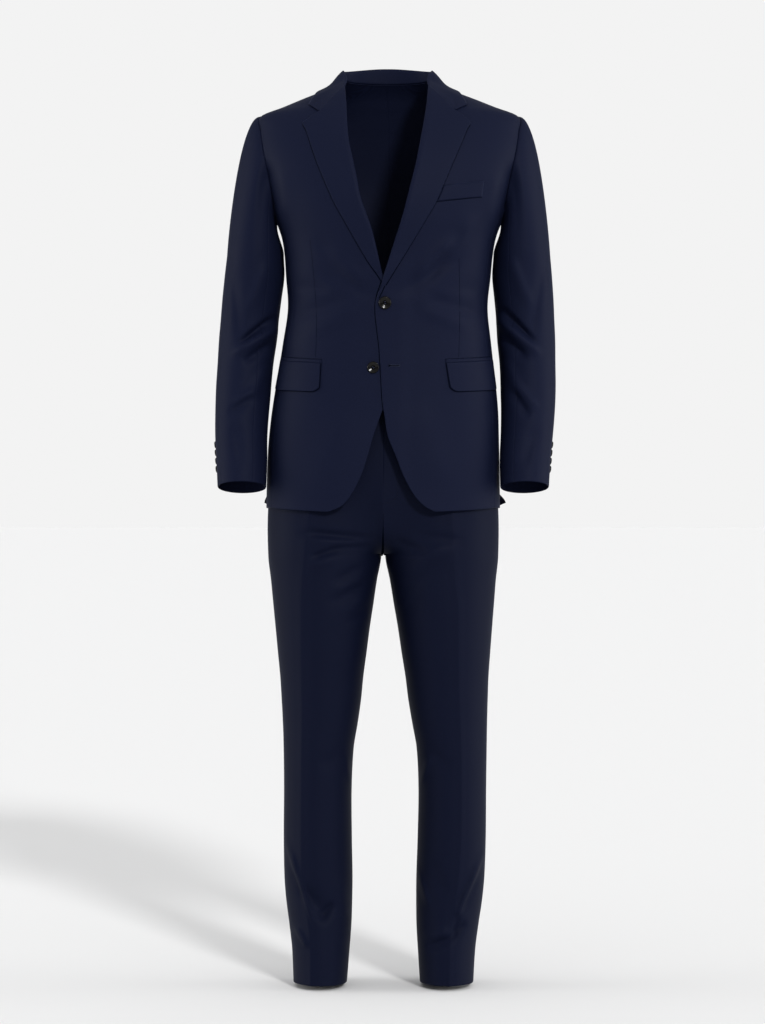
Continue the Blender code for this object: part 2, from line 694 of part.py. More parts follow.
def collar_row(side, v):
    """Points across the collar, from the foot of the stand over the fold to the edge of the fall."""
    angle, level = neckline(side, v)
    foot = body(side, angle, level)
    normal = (body(side, angle, level, 1.0) - foot).normalized()
    ahead = body(side, *neckline(side, min(v + 0.03, 1.0)))
    behind = body(side, *neckline(side, max(v - 0.03, 0.0)))
    along = (ahead - behind).normalized()
    out_of_panel = along.cross(normal).normalized() * sign_of(side)
    upright = Vector((0, 0, 1))
    lean = smoothstep(0.6, 0.95, v)
    rise = upright.lerp(out_of_panel, lean).normalized()
    side_normal = along.cross(rise).normalized() * sign_of(side)
    if side_normal.dot(normal) < 0:
        side_normal = -side_normal
    to_shoulder = smoothstep(0, COLLAR_SHOULDER_SHARE, v)
    to_front = smoothstep(COLLAR_SHOULDER_SHARE, 1, v)
    height = lerp(lerp(COLLAR_STAND_BACK, COLLAR_STAND_SIDE, to_shoulder), COLLAR_STAND_FRONT, to_front)
    behind_seam = -COLLAR_WALL - 0.1
    path = [
        # up the stand, out from the neck
        (0.45, behind_seam), (height * 0.5, behind_seam), (height - 1.2, -COLLAR_WALL),
        (height + 0.6, 0.3), (height - 0.9, 2.6),
    ]
    points = [foot + rise * up + side_normal * off for up, off in path]
    edge = fall_edge(side, v)
    end = COLLAR_TIP[side]
    corner = NOTCH_CORNER[side]
    shoulder = points[-1]
    rim = body(side, *edge, COLLAR_RISE)
    for share in COLLAR_SHARES:
        resting = body(side, lerp(angle, edge[0], share), lerp(level, edge[1], share), COLLAR_RISE)
        hugging = lerp(smoothstep(0, 0.85, share), 1, smoothstep(0.66, 0.92, v))
        regular = shoulder.lerp(rim, share).lerp(resting, hugging)
        if share <= GORGE_CORNER_SHARE:
            t = share / GORGE_CORNER_SHARE
            start_x = FRONT_EDGE.at(GORGE_START[side][1], side)
            flat = (lerp(start_x, corner[0], t), lerp(GORGE_START[side][1], corner[1], t))
        else:
            t = (share - GORGE_CORNER_SHARE) / (1 - GORGE_CORNER_SHARE)
            flat = (lerp(corner[0], end[0], t), lerp(corner[1], end[1], t))
        last = on_front(side, *flat, COLLAR_RISE)
        points.append(regular.lerp(last, smoothstep(0.86, 1.0, v)))
    return points


def make_collar():
    outer = [collar_row("right", v) for v in reversed(COLLAR_STATIONS[1:])]
    outer += [collar_row("left", v) for v in COLLAR_STATIONS]
    inner = [
        [p - n * COLLAR_WALL for p, n in zip(row, line)]
        for row, line in zip(outer, grid_normals(outer))
    ]
    for grid in (outer, inner):
        draw_in(grid, 2 * SEAM_GAP)
    wall("collar", outer, inner, NAVY_DARK)


def flap_rows(low, high, slant, columns, rows):
    """Angles and levels over a pocket flap, from its front end to its rear end."""
    grid = []
    for i in range(rows + 1):
        line = []
        for j in range(columns + 1):
            share = j / columns
            down = i / rows
            rounding = FLAP_CORNER * max(0.0, 1 - share / 0.1) ** 2 * down**2
            top = lerp(low[1], high[1], share)
            bottom = lerp(low[2], high[2], share) + rounding
            angle = lerp(low[0], high[0], share) + slant * down * (1 - share)
            line.append((angle, lerp(top, bottom, down)))
        grid.append(line)
    return grid


def make_hip_pocket(side):
    front = FLAP_FRONT[side]
    rows = flap_rows(front, FLAP_REAR, FLAP_SLANT[side], 9, 4)
    flap = [[body(side, u, v, 2 * SEAM_GAP + FLAP_WALL) for u, v in row] for row in rows]
    under = [[body(side, u, v, SEAM_GAP + 0.1) for u, v in row] for row in rows]
    wall(f"flap_{side}", flap, under, NAVY_DARK)
    strip = []
    for level in (SEAM_GAP, JET_HEIGHT):
        low = (front[0] - 0.6, front[1] + level)
        high = (FLAP_REAR[0] + 0.6, FLAP_REAR[1] + level)
        strip.append(spread(low, high, 9))
    outer = [[body(side, u, v, SEAM_GAP + JET_WALL) for u, v in row] for row in strip]
    inner = [[body(side, u, v, SEAM_GAP) for u, v in row] for row in strip]
    wall(f"jet_{side}", outer, inner, NAVY)


def make_breast_welt():
    rows = []
    for i in range(3):
        share = i / 2
        inner_z = lerp(WELT_LOWER[0], WELT_UPPER[0], share)
        outer_z = lerp(WELT_LOWER[1], WELT_UPPER[1], share)
        outer_x = lerp(WELT_LOWER[2], WELT_UPPER[2], share)
        start = (LAPEL_EDGE.at(inner_z, "left") + 1.0, inner_z)
        rows.append(spread(start, (outer_x, outer_z), 5))
    outer = [[on_front("left", x, z, SEAM_GAP + WELT_WALL) for x, z in row] for row in rows]
    inner = [[on_front("left", x, z, SEAM_GAP) for x, z in row] for row in rows]
    wall("breast_welt", outer, inner, NAVY_DARK)


def crotch_share(z):
    """How far the middle seam has swept under the body at a level: 0 upright, 1 at the fork."""
    t = min(1.0, max(0.0, (CROTCH_TOP - z) / (CROTCH_TOP - FORK_Z)))
    return 1 - (1 - t**3) ** 0.5


def leg_ring(side, turn, z):
    """A point round a leg: -90 inseam, 0 front crease, 90 outseam, 180 back crease."""
    toe = LEG.at(z, "toe_" + side) * cos(radians(turn))
    s = sin(radians(turn + toe))
    c = cos(radians(turn + toe))
    front = LEG.at(z, "front")
    back = LEG.at(z, "back")
    middle = (front + back) / 2
    depth = (back - front) / 2
    x = LEG.at(z, "x") + LEG.at(z, "half_width") * s
    return x, middle - depth * c


def crease_height(turn):
    return CREASE_HEIGHT * max(0.0, 1 - abs(turn) / CREASE_HALF_WIDTH)


def trouser_surface(side, turn, z):
    ring_x, ring_y = leg_ring(side, turn, z)
    inner = min(1.0, abs(min(turn, 180 - turn) / 90 + 1))  # 0 on the inseam, 1 from the creases out
    from_front = min(turn, 180 - turn)
    if from_front < 0:
        angle = lerp(0, HIP_CREASE_ANGLE, from_front / 90 + 1)
    else:
        angle = lerp(HIP_CREASE_ANGLE, 90, from_front / 90)
    if turn > 90:
        angle = 180 - angle
    across, ahead = squircle(angle)
    hip_x = HIPS.at(z, "half_width") * across
    hip_y = HIPS.at(z, "front") * ahead if ahead > 0 else -HIPS.at(z, "back") * ahead
    share = lerp(crotch_share(z), smooth_fall(z, FORK_Z, HIP_BLEND_TOP), inner)
    x = lerp(hip_x, ring_x, share)
    y = lerp(hip_y, ring_y, share)
    ahead_share = cos(radians(turn))
    y -= crease_height(turn) * smooth_fall(z, *CREASE_ENDS_Z)
    y += crease_height(turn - 180) * smooth_fall(z, *BACK_CREASE_ENDS_Z)
    if ahead_share > 0:
        y -= fold_height(LEG_FOLDS, side, x, z) * ahead_share**0.5
    hem = smooth_fall(z, *HEM_SLANT_ENDS_Z) * HEM_SLANT * (ahead_share - 1)
    return place(side, x, y, z + hem)


def trouser(side, turn, z, out=0.0):
    return moved_out(trouser_surface, side, turn, z, out, 3.0, 4.0)


def make_trouser_panel(side, part):
    turns = LEG_TURNS if part == "front" else [180 - t for t in reversed(LEG_TURNS)]
    rows = [[(turn, z) for turn in turns] for z in LEG_LEVELS]
    return panel(f"trouser_{part}_{side}", trouser, side, rows, TROUSER_WALL, NAVY)


def hip_surface(side, angle, z):
    across, ahead = squircle(angle)
    y = HIPS.at(z, "front") * ahead if ahead > 0 else -HIPS.at(z, "back") * ahead
    return place(side, HIPS.at(z, "half_width") * across, y, z)


def hips(side, angle, z, out=0.0):
    return moved_out(hip_surface, side, angle, z, out, 2.0, 4.0)


def make_waistband(side):
    rows = [[(angle, z) for angle in range(0, 181, 12)] for z in (BAND_BOTTOM, BAND_TOP)]
    return panel(f"waistband_{side}", hips, side, rows, BAND_WALL, NAVY, out=BAND_OUT)


def make_fly():
    """The underlap behind the fly opening."""
    across = [("right", -62), ("right", -90), ("left", -76)]
    grids = []
    for out in (-TROUSER_WALL - FLY_DEPTH, -2 * TROUSER_WALL - FLY_DEPTH):
        grids.append([[trouser(side, turn, z, out) for side, turn in across] for z in FLY_LEVELS])
    wall("fly", *grids, NAVY_DARK)


def make_button(name, centre, normal, radius, segments):
    """A turned sew-through button: a disc with a raised rim."""
    profile = [
        # radius, height
        (0.0, 0.0), (radius * 0.9, 0.0), (radius, 1.2), (radius * 0.9, 3.2), (radius * 0.72, 3.2),
        (radius * 0.6, 2.4), (0.0, 2.4),
    ]
    data = bmesh.new()
    rings = []
    for r, h in profile:
        if r == 0:
            rings.append([data.verts.new((0, 0, h * MM))])
            continue
        turns = [2 * pi * k / segments for k in range(segments)]
        rings.append([data.verts.new((r * cos(a) * MM, r * sin(a) * MM, h * MM)) for a in turns])
    for low, high in zip(rings, rings[1:]):
        for k in range(segments):
            n = (k + 1) % segments
            if len(low) == 1:
                data.faces.new((low[0], high[k], high[n]))
            elif len(high) == 1:
                data.faces.new((low[k], high[0], low[n]))
            else:
                data.faces.new((low[k], high[k], high[n], low[n]))
    bmesh.ops.recalc_face_normals(data, faces=data.faces)
    turn = Vector((0, 0, 1)).rotation_difference(normal)
    bmesh.ops.rotate(data, cent=(0, 0, 0), matrix=turn.to_matrix(), verts=data.verts)
    button = add_object(name, data, HORN, HORN_ROUGHNESS)
    button.location = centre * MM
    return button


def make_front_buttons():
    for name, side, (x, z), radius in (
        ("button_top", "left", TOP_BUTTON, FRONT_BUTTON_RADIUS),
        ("button_lower", "right", LOWER_BUTTON, LOWER_BUTTON_RADIUS),
    ):
        own_x = x * sign_of(side)
        seat = on_front(side, own_x, z, SEAM_GAP + 0.3)
        normal = (on_front(side, own_x, z, 2.0) - on_front(side, own_x, z)).normalized()
        make_button(name, seat, normal, radius, 16)


def make_cuff_buttons(side):
    for i in range(CUFF_BUTTONS):
        level = SLEEVE_LEVELS[-1] + CUFF_LOWEST_BUTTON + i * CUFF_BUTTON_PITCH
        here = sleeve_ring(side, CUFF_BUTTON_TURN, level)
        over = sleeve_ring(side, CUFF_BUTTON_TURN + 5, level) - here
        up = sleeve_ring(side, CUFF_BUTTON_TURN, level + 5) - here
        normal = over.cross(up).normalized()
        if normal.x * sign_of(side) < 0:
            normal = -normal
        make_button(f"cuff_button_{side}_{i + 1}", here + normal * 0.6, normal, CUFF_BUTTON_RADIUS, 8)


def main():
    for old in list(bpy.data.objects):
        bpy.data.objects.remove(old, do_unlink=True)
    for side in ("left", "right"):
        make_front(side)
        make_side(side)
        make_back(side)
        make_sleeve(side)
        make_lapel(side)
        make_hip_pocket(side)
        make_trouser_panel(side, "front")
        make_trouser_panel(side, "back")
        make_waistband(side)
        make_cuff_buttons(side)
    make_collar()
    make_breast_welt()
    make_fly()
    make_front_buttons()


main()
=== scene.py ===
# %% [markdown]
# # A two-piece suit, filled out as if worn
#
# A navy worsted suit stands on its own, as if someone were in it: a single-breasted jacket with two
# buttons, notch lapels, a breast welt and flapped hip pockets, over flat-front trousers with a pressed
# crease. Its shirt and tie are other garments and stay out.
#
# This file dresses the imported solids. Each panel is cut again on the same tables as its solid, only with
# many more points, so its seams, turned edges and creases can be soft. Tables are in millimetres, in a
# symmetric frame: x runs from the middle towards the piece's own side, and the stance's sway is added last.

from math import pi, radians

import bmesh
import bpy
import numpy as np
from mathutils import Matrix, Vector


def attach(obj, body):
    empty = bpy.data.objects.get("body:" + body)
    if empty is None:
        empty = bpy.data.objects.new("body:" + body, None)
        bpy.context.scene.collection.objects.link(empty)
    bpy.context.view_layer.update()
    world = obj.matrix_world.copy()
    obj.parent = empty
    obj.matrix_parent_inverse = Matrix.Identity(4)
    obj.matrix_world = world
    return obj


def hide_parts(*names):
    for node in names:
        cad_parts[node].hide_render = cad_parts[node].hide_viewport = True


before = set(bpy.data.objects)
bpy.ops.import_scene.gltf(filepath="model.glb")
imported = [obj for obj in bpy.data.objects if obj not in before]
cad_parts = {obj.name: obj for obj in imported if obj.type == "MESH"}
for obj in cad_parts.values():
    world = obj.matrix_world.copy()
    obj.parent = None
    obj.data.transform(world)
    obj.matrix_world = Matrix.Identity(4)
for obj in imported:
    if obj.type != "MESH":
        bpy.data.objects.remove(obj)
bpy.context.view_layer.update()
print("nodes", len(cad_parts))

MM = 0.001
SIDES = ("left", "right")


def sign_of(side):
    return 1.0 if side == "left" else -1.0


# %% [markdown]
# ## Curves from short tables
#
# A tailor drafts from a few measures and joins them with a smooth curve. A table does the same: its
# first column is the key, such as the level, and the others are read as smooth curves over it. It reads
# whole arrays at once, so a panel of ten thousand points takes no time.

# %% Tables and blends
def smoothstep(low, high, value):
    """0 below low, 1 above high, and an even S between them."""
    t = np.clip((value - low) / (high - low), 0.0, 1.0)
    return t * t * (3 - 2 * t)


def smooth_fall(value, low, high):
    return 1 - smoothstep(low, high, value)


def lerp(a, b, t):
    return a + (b - a) * t


def hermite(start, leave, end, arrive, t):
    """A cubic from start to end with these directions at its ends."""
    a = 2 * t**3 - 3 * t**2 + 1
    b = t**3 - 2 * t**2 + t
    c = 3 * t**2 - 2 * t**3
    d = t**3 - t**2
    return a * start + b * leave + c * end + d * arrive


class Table:
    """Rows of numbers with named columns, read as a smooth curve over the first column."""

    def __init__(self, names, rows):
        self.names = names.split()
        self.rows = np.array(sorted(rows), float)
        keys = self.rows[:, 0]
        high = np.minimum(np.arange(len(keys)) + 1, len(keys) - 1)
        low = np.maximum(np.arange(len(keys)) - 1, 0)
        self.slopes = (self.rows[high] - self.rows[low]) / (keys[high] - keys[low])[:, None]

    def at(self, key, name):
        column = self.names.index(name)
        keys = self.rows[:, 0]
        key = np.clip(key, keys[0], keys[-1])
        i = np.clip(np.searchsorted(keys, key, side="left") - 1, 0, len(keys) - 2)
        step = keys[i + 1] - keys[i]
        leave = self.slopes[i, column] * step
        arrive = self.slopes[i + 1, column] * step
        share = (key - keys[i]) / step
        return hermite(self.rows[i, column], leave, self.rows[i + 1, column], arrive, share)


def smooth_line(points, count):
    """A smooth line of count points through a few points, which may each be a grid."""
    points = [np.asarray(p, float) for p in points]
    lines = []
    for t in np.linspace(0, len(points) - 1, count):
        i = min(int(t), len(points) - 2)
        before = points[max(i - 1, 0)]
        after = points[min(i + 2, len(points) - 1)]
        leave = (points[i + 1] - before) / 2
        arrive = (after - points[i]) / 2
        lines.append(hermite(points[i], leave, points[i + 1], arrive, t - i))
    return np.array(lines)


# %% [markdown]
# ## The draft
#
# The tables below are the draft of the suit: how the figure stands, the sections of the jacket's body,
# sleeves, hips and legs, and the lines of the front edge, lapels and collar.

# %% The stance and the jacket's draft
SWAY = Table("z x", [
    (60, 0), (0, 0), (-52, 3), (-250, 2), (-380, 0), (-470, -2), (-540, -4),
    (-620, -7), (-760, -7.8), (-950, -6.4), (-1150, -4.4), (-1535, -7.5),
])

# Jacket body, horizontal sections
BODY = Table("z half_width front back side_y", [
    (14, 73, -6, 69, 15), (0, 92, -36, 80, 15), (-12, 117, -49, 87, 15), (-25, 150, -59, 92, 15),
    (-39, 184, -68, 97, 14), (-53, 219, -77, 101, 13), (-80, 226, -95, 108, 9),
    (-120, 228, -115, 115, 6), (-160, 220, -129, 119, 4), (-200, 206, -138, 118, 2),
    (-240, 189, -140, 114, 0), (-262, 181.5, -138, 109, 0), (-290, 176.8, -135, 104, 0),
    (-325, 173.9, -131, 97, 0), (-380, 169.6, -127, 92, 0), (-440, 176.8, -126, 98, 0),
    (-480, 182.2, -127, 106, 0), (-530, 189.2, -128, 114, 0), (-570, 193.4, -129, 120, 0),
    (-640, 197, -131, 125, 0), (-745, 198.8, -130, 124, 0),
])
SQUARENESS = 2.35  # exponent of the body sections: 2 is an ellipse

# Front edge, then roll line, of each front: distance from the middle towards its own side
FRONT_EDGE = Table("z left right", [
    (-725.5, 86, 92), (-717, 70, 71), (-702, 54.6, 57), (-684, 43, 46), (-662, 32, 36),
    (-634, 21, 27), (-600, 6.5, 18), (-565, -0.5, 7), (-545, -4.5, 1), (-520, -7, -6),
    (-480, -10.5, -13), (-450, -13, -14), (-420, -17.5, -14), (-395, -20.5, -13),
    (-375, -19.8, -8), (-350, -11.4, 1.5), (-338, -8, 7.8), (-309, 1.5, 17),
    (-286, 8.5, 23), (-255, 18.5, 31.5), (-230, 26, 41), (-203, 32.7, 50.5),
    (-176, 39.2, 56), (-148, 45.8, 62), (-120, 50.8, 68), (-92, 55.8, 72), (-60, 61, 73.5),
    (-35, 65, 74), (-8, 69.2, 74),
])
# Outer edge of each lapel
LAPEL_EDGE = Table("z left right", [
    (-73, 133.8, 144.5), (-97, 124.7, 136.5), (-125, 113.5, 127.5), (-150, 103, 118.5),
    (-180, 90.7, 106), (-213, 76.8, 91), (-244, 59.3, 73.5), (-283, 36.2, 51),
    (-315, 17, 31.5), (-338, 3, 15), (-359, -9, 3),
])
LAPEL_BREAK_Z = {"left": -357.0, "right": -336.0}
GORGE_START = {"left": (69.2, -8.0), "right": (74.0, -8.0)}
NOTCH_CORNER = {"left": (108.8, -53.4), "right": (117.9, -54.9)}
LAPEL_TIP = {"left": (134.3, -73.5), "right": (144.8, -74.5)}
COLLAR_TIP = {"left": (130.5, -42.5), "right": (135.5, -41.4)}
GORGE_CORNER_SHARE = 0.62

# Levels that each station of a body panel runs through, hem to shoulder
PANEL_ROWS = Table("station side front back", [
    (0, -719, -725.5, -742), (1, -711, -717, -733), (2, -699, -702, -717), (3, -682, -684, -697),
    (4, -660, -662, -672), (5, -632, -634, -641), (6, -600, -600, -604), (7, -565, -565, -566),
    (8, -530, -530, -530), (9, -490, -490, -490), (10, -450, -450, -450), (11, -410, -410, -410),
    (12, -380, -380, -380), (13, -350, -350, -350), (14, -318, -318, -316), (15, -286, -286, -282),
    (16, -255, -255, -249), (17, -211.8, -232, -222), (18, -192, -210, -197), (19, -170, -189, -173),
    (20, -146, -168, -150), (21, -122, -148, -128), (22, -99.5, -129, -107), (23, -80, -111, -87),
    (24, -65.5, -94, -69), (25, -56, -79, -53), (26, -53, -66, -39), (27, -39, -52, -29),
    (28, -25, -40, -19), (29, -12, -29, -9), (30, 1, -18, 1), (31, 12, -8.5, 10),
])
ARMHOLE_STATION = 17  # the side seams end on the armhole here
CROWN_STATION = 26  # the armhole ends on the shoulder seam here
LAST_STATION = 31
SIDE_SEAMS = Table("z front back", [
    (-211.8, 70.9, 109.1), (-255, 69, 108), (-400, 66, 106), (-745, 66, 106),
])
ARMHOLE_MID_Z = -146.0
ARMHOLE_HALF_HEIGHT = 93.0
ARMHOLE_HALF_ANGLE = 27.0
ARMHOLE_STEP = 15.0
SIDE_SEAM_TURN = 135.0

# Sleeve sections; tilt lifts the front of a section
SLEEVE = Table("z x y half_width half_depth tilt", [
    (-290, 226.6, 5, 48.2, 67, 0), (-325, 227.6, 6, 50.8, 65, 0), (-366, 231.7, 8, 50.3, 63, 0),
    (-400, 234.6, 9, 49.5, 61, 2), (-433, 236.8, 8, 49.4, 59, 4), (-474, 239.8, 3, 47.5, 57, 7),
    (-515, 241.6, -5, 46.8, 54, 9), (-556, 242.1, -15, 45.6, 51, 11), (-597, 241.3, -27, 44.2, 48, 12),
    (-637, 239, -38, 43, 45.5, 13), (-684, 237.8, -51, 41, 44, 13),
])
SLEEVE_TOP_Z = -290.0
SLEEVE_HEM_Z = -684.0
SLEEVE_SEAMS = {"top": (-30.0, 120.0), "under": (120.0, 330.0)}

# %% The trousers' draft
HIPS = Table("z half_width front back", [
    (-520, 156, -101, 86), (-558, 162, -104, 91), (-600, 175, -108, 101),
    (-650, 188, -110, 107), (-700, 193, -110, 109), (-760, 196.8, -109, 110), (-800, 196.8, -108, 109),
])
LEG = Table("z x half_width front back toe_left toe_right", [
    (-700, 99.3, 97.3, -110, 108, 8, 16), (-801, 99.4, 96, -108, 108, 11, 20),
    (-841, 101, 90.1, -106, 106, 12, 23), (-882, 102.4, 85.1, -103, 102, 15, 25),
    (-923, 103.9, 80, -99, 97, 15, 26), (-964, 105, 75.4, -95, 93, 15, 27),
    (-1005, 106.3, 70.7, -90, 89, 15, 28), (-1045, 107.6, 67.5, -86, 85, 15, 28),
    (-1086, 110, 63.5, -82, 82, 15, 28), (-1127, 113, 59.6, -79, 80, 14, 28),
    (-1195, 114.3, 57.6, -75, 80, 14, 28), (-1277, 113.9, 58, -71, 82, 14, 28),
    (-1345, 112.2, 58, -68, 82, 12, 27), (-1385, 110.5, 56.2, -67, 80, 9, 24),
    (-1426, 108, 52.8, -69, 77, 6, 20), (-1467, 106.8, 48.8, -72, 73, 5, 20),
    (-1535, 107.5, 44.6, -76, 68, 4, 20),
])
FORK_Z = -799.0
HIP_BLEND_TOP = -640.0
CROTCH_TOP = -690.0
HIP_CREASE_ANGLE = 35.0
BAND_TOP = -520.0
BAND_BOTTOM = -558.0
TROUSER_HEM = -1520.0
HEM_SLANT = 3.0

# %% [markdown]
# ## Folds
#
# Worsted cloth on a standing figure hardly hangs in folds: it pulls towards the closed button, breaks at
# the elbow, drags across the thigh from the fork, and breaks over the shoe at the hem. Each fold is a
# soft ridge or trough along its own short line, in its own width and height, and no two are alike.
# The simulated alternative would relax the pressed creases too, so these are placed one by one.

# %% Folds in millimetres
# Each row: from x, z to x, z on the piece's own side, then half width and height
JACKET_FOLDS = {
    "left": [
        (104, -276, 50, -333, 9, 2.6), (120, -262, 70, -330, 12, -1.8), (140, -240, 96, -300, 13, 1.4),
        (150, -395, 70, -372, 10, -1.6), (138, -420, 60, -392, 12, 1.2), (120, -350, 52, -378, 10, 0.8),
        (150, -352, 96, -356, 10, -1.1), (60, -560, 96, -668, 30, 1.4), (204, -150, 196, -226, 9, -3.4),
        (180, -170, 172, -236, 13, 1.6), (116, -302, 18, -362, 14, -2.0),
    ],
    "right": [
        (112, -324, 26, -366, 14, -1.9), (96, -300, 40, -352, 11, 1.8), (118, -276, 76, -322, 12, -1.3),
        (150, -398, 72, -374, 10, -1.6), (132, -428, 58, -396, 12, 1.2), (156, -346, 104, -358, 9, -1.2),
        (66, -570, 108, -676, 32, 1.2), (204, -146, 197, -222, 9, -3.2), (182, -166, 176, -230, 13, 1.5),
    ],
}
BACK_FOLDS = {
    "left": [
        (150, -372, 64, -352, 12, -1.8), (148, -410, 58, -384, 14, 1.5), (176, -150, 160, -236, 12, -2.6),
        (128, -92, 118, -208, 22, 1.6),
    ],
    "right": [
        (148, -380, 70, -356, 12, -1.6), (150, -416, 60, -390, 13, 1.7), (176, -146, 158, -230, 12, -2.4),
        (132, -96, 116, -214, 22, 1.5),
    ],
}
SLEEVE_FOLDS = {
    "left": [
        (196, -386, 243, -434, 6, -4.4), (192, -402, 250, -453, 8, 3.4), (196, -428, 232, -462, 7, -3.2),
        (214, -524, 240, -562, 7, -2.2), (222, -512, 252, -548, 8, 1.8), (206, -300, 236, -372, 10, 1.6),
        (258, -330, 246, -420, 9, -1.3), (204, -470, 222, -520, 9, 1.5), (252, -590, 236, -644, 11, -1.2),
    ],
    "right": [
        (196, -400, 243, -437, 6, -4.2), (192, -418, 253, -456, 8, 3.4), (200, -444, 236, -470, 7, -2.8),
        (226, -534, 258, -556, 7, -2.2), (218, -520, 250, -540, 8, 1.6), (206, -312, 232, -380, 10, 1.5),
        (260, -340, 250, -424, 9, -1.2), (206, -484, 228, -530, 9, 1.3), (250, -586, 238, -640, 11, -1.1),
    ],
}
SLEEVE_BACK_FOLDS = {
    "left": [
        (204, -380, 262, -402, 9, -2.0), (208, -424, 266, -432, 10, 2.0), (214, -300, 258, -340, 14, -1.6),
        (206, -520, 250, -600, 12, 1.4),
    ],
    "right": [
        (204, -388, 262, -406, 9, -2.0), (208, -430, 266, -440, 10, 1.8), (216, -306, 258, -344, 14, -1.6),
        (206, -526, 250, -604, 12, 1.3),
    ],
}
LEG_FOLDS = {
    "left": [
        (8, -768, 10, -812, 5, -1.2), (60, -764, 124, -772, 9, -1.5), (22, -774, 66, -790, 7, -1.9),
        (44, -796, 108, -786, 9, 1.2), (30, -862, 96, -812, 11, -1.5), (26, -838, 88, -790, 8, 1.0),
        (26, -900, 60, -868, 8, -1.2), (74, -1142, 59, -1187, 5, 3.2), (78, -1126, 104, -1152, 11, -1.4),
        (166, -1306, 124, -1402, 5, 3.4), (124, -1402, 116, -1432, 6, -2.2), (55, -1329, 75, -1385, 5, 3.0),
        (76, -1455, 110, -1441, 7, -3.0), (110, -1441, 134, -1417, 7, -2.8),
        (72, -1440, 104, -1428, 8, 1.4), (152, -1346, 134, -1392, 9, -1.6),
        (84, -1318, 98, -1366, 12, -1.4),
    ],
    "right": [
        (24, -770, 124, -760, 8, -2.6), (40, -776, 116, -771, 6, 1.3), (22, -783, 80, -787, 7, -2.4),
        (78, -787, 116, -801, 7, -2.6), (84, -802, 122, -814, 8, 1.4), (40, -817, 78, -838, 7, -2.2),
        (36, -832, 76, -855, 6, 1.5), (34, -848, 84, -875, 8, -2.0), (26, -886, 58, -912, 8, -1.6),
        (30, -868, 64, -892, 6, 1.1), (66, -1144, 57, -1188, 5, 3.2), (72, -1128, 104, -1150, 12, -1.5),
        (165, -1288, 123, -1402, 5, 3.2), (150, -1426, 131, -1453, 5, 2.8),
        (134, -1362, 94, -1408, 13, -2.6), (88, -1384, 108, -1407, 7, -2.8), (74, -1352, 66, -1404, 8, 1.8),
        (152, -1330, 136, -1372, 8, -1.6), (9, -738, 12, -812, 7, -2.4),
    ],
}
LEG_BACK_FOLDS = {
    "left": [
        (40, -836, 128, -800, 12, -3.0), (36, -872, 120, -838, 11, 2.0), (60, -1120, 150, -1096, 13, -2.2),
        (64, -1152, 148, -1136, 11, 1.8), (80, -1410, 148, -1446, 14, -2.0),
    ],
    "right": [
        (40, -830, 132, -798, 12, -3.0), (38, -868, 118, -832, 11, 2.0), (64, -1126, 150, -1100, 13, -2.2),
        (66, -1160, 150, -1142, 11, 1.8), (78, -1416, 150, -1440, 14, -2.0),
    ],
}
FOLD_DEPTH = 2.6  # all heights are drawn this many times deeper
FOLD_FADE = 0.25  # of a fold's length, past and inside both its ends
STEEP_FLANK, GENTLE_FLANK = 0.8, 1.25  # one flank is steeper than the other, as cloth lies


def fold_height(folds, side, x, z):
    """Height of the folds at each point, x measured towards the piece's own side."""
    height = np.zeros(np.broadcast(x, z).shape)
    for x1, z1, x2, z2, half, rise in folds[side]:
        run_x = x2 - x1
        run_z = z2 - z1
        length = np.hypot(run_x, run_z)
        along = ((x - x1) * run_x + (z - z1) * run_z) / length**2
        across = ((x - x1) * run_z - (z - z1) * run_x) / length
        ends = smoothstep(-FOLD_FADE, FOLD_FADE, along) * smoothstep(-FOLD_FADE, FOLD_FADE, 1 - along)
        flank = np.where(across > 0, half * GENTLE_FLANK, half * STEEP_FLANK)
        height = height + FOLD_DEPTH * rise * ends * np.exp(-((across / flank) ** 2))
    return height


front_folds = (JACKET_FOLDS, SLEEVE_FOLDS, LEG_FOLDS)
print("folds in front", sum(len(rows) for folds in front_folds for rows in folds.values()))


# %% [markdown]
# ## Surfaces
#
# Each garment is one smooth surface read by two numbers: how far round, and at what level. Panels,
# pockets, lapels, stitches and buttons all ask the same surface for their place, so they lie on it from
# any side.

# %% The surfaces of jacket, sleeves and trousers
def squircle(angle):
    """Unit section through a body, boxier than an ellipse: how far to the side and how far to the front."""
    s = np.sin(np.radians(angle))
    c = np.cos(np.radians(angle))
    k = (abs(s) ** SQUARENESS + abs(c) ** SQUARENESS) ** (-1 / SQUARENESS)
    return s * k, c * k


def place(side, x, y, z):
    """Mirrors points to their side and adds the sway."""
    x, y, z = np.broadcast_arrays(x, y, z)
    return np.stack([sign_of(side) * x + SWAY.at(z, "x"), y, z], axis=-1)


def unit(v):
    return v / np.maximum(np.linalg.norm(v, axis=-1, keepdims=True), 1e-9)


def moved_out(surface, side, u, v, out, du, dv):
    """Points of a surface moved out along its normal."""
    here = surface(side, u, v)
    across = surface(side, u + du, v) - surface(side, u - du, v)
    down = surface(side, u, v - dv) - surface(side, u, v + dv)
    normal = unit(np.cross(across, down)) * -sign_of(side)
    return here + normal * np.asarray(out, float)[..., None]


LAP_HEIGHT = 2.8  # the left front lies this far out over the right one
LAP_FADE_X = (20, 48)
LAP_FADE_Z = (-335, -285)
FACING = 0.12  # folds fade out over this share of the depth at the side of the body


def lap_height(side, x, z):
    if side == "right":
        return 0.0
    return LAP_HEIGHT * smooth_fall(x, *LAP_FADE_X) * smooth_fall(z, *LAP_FADE_Z)


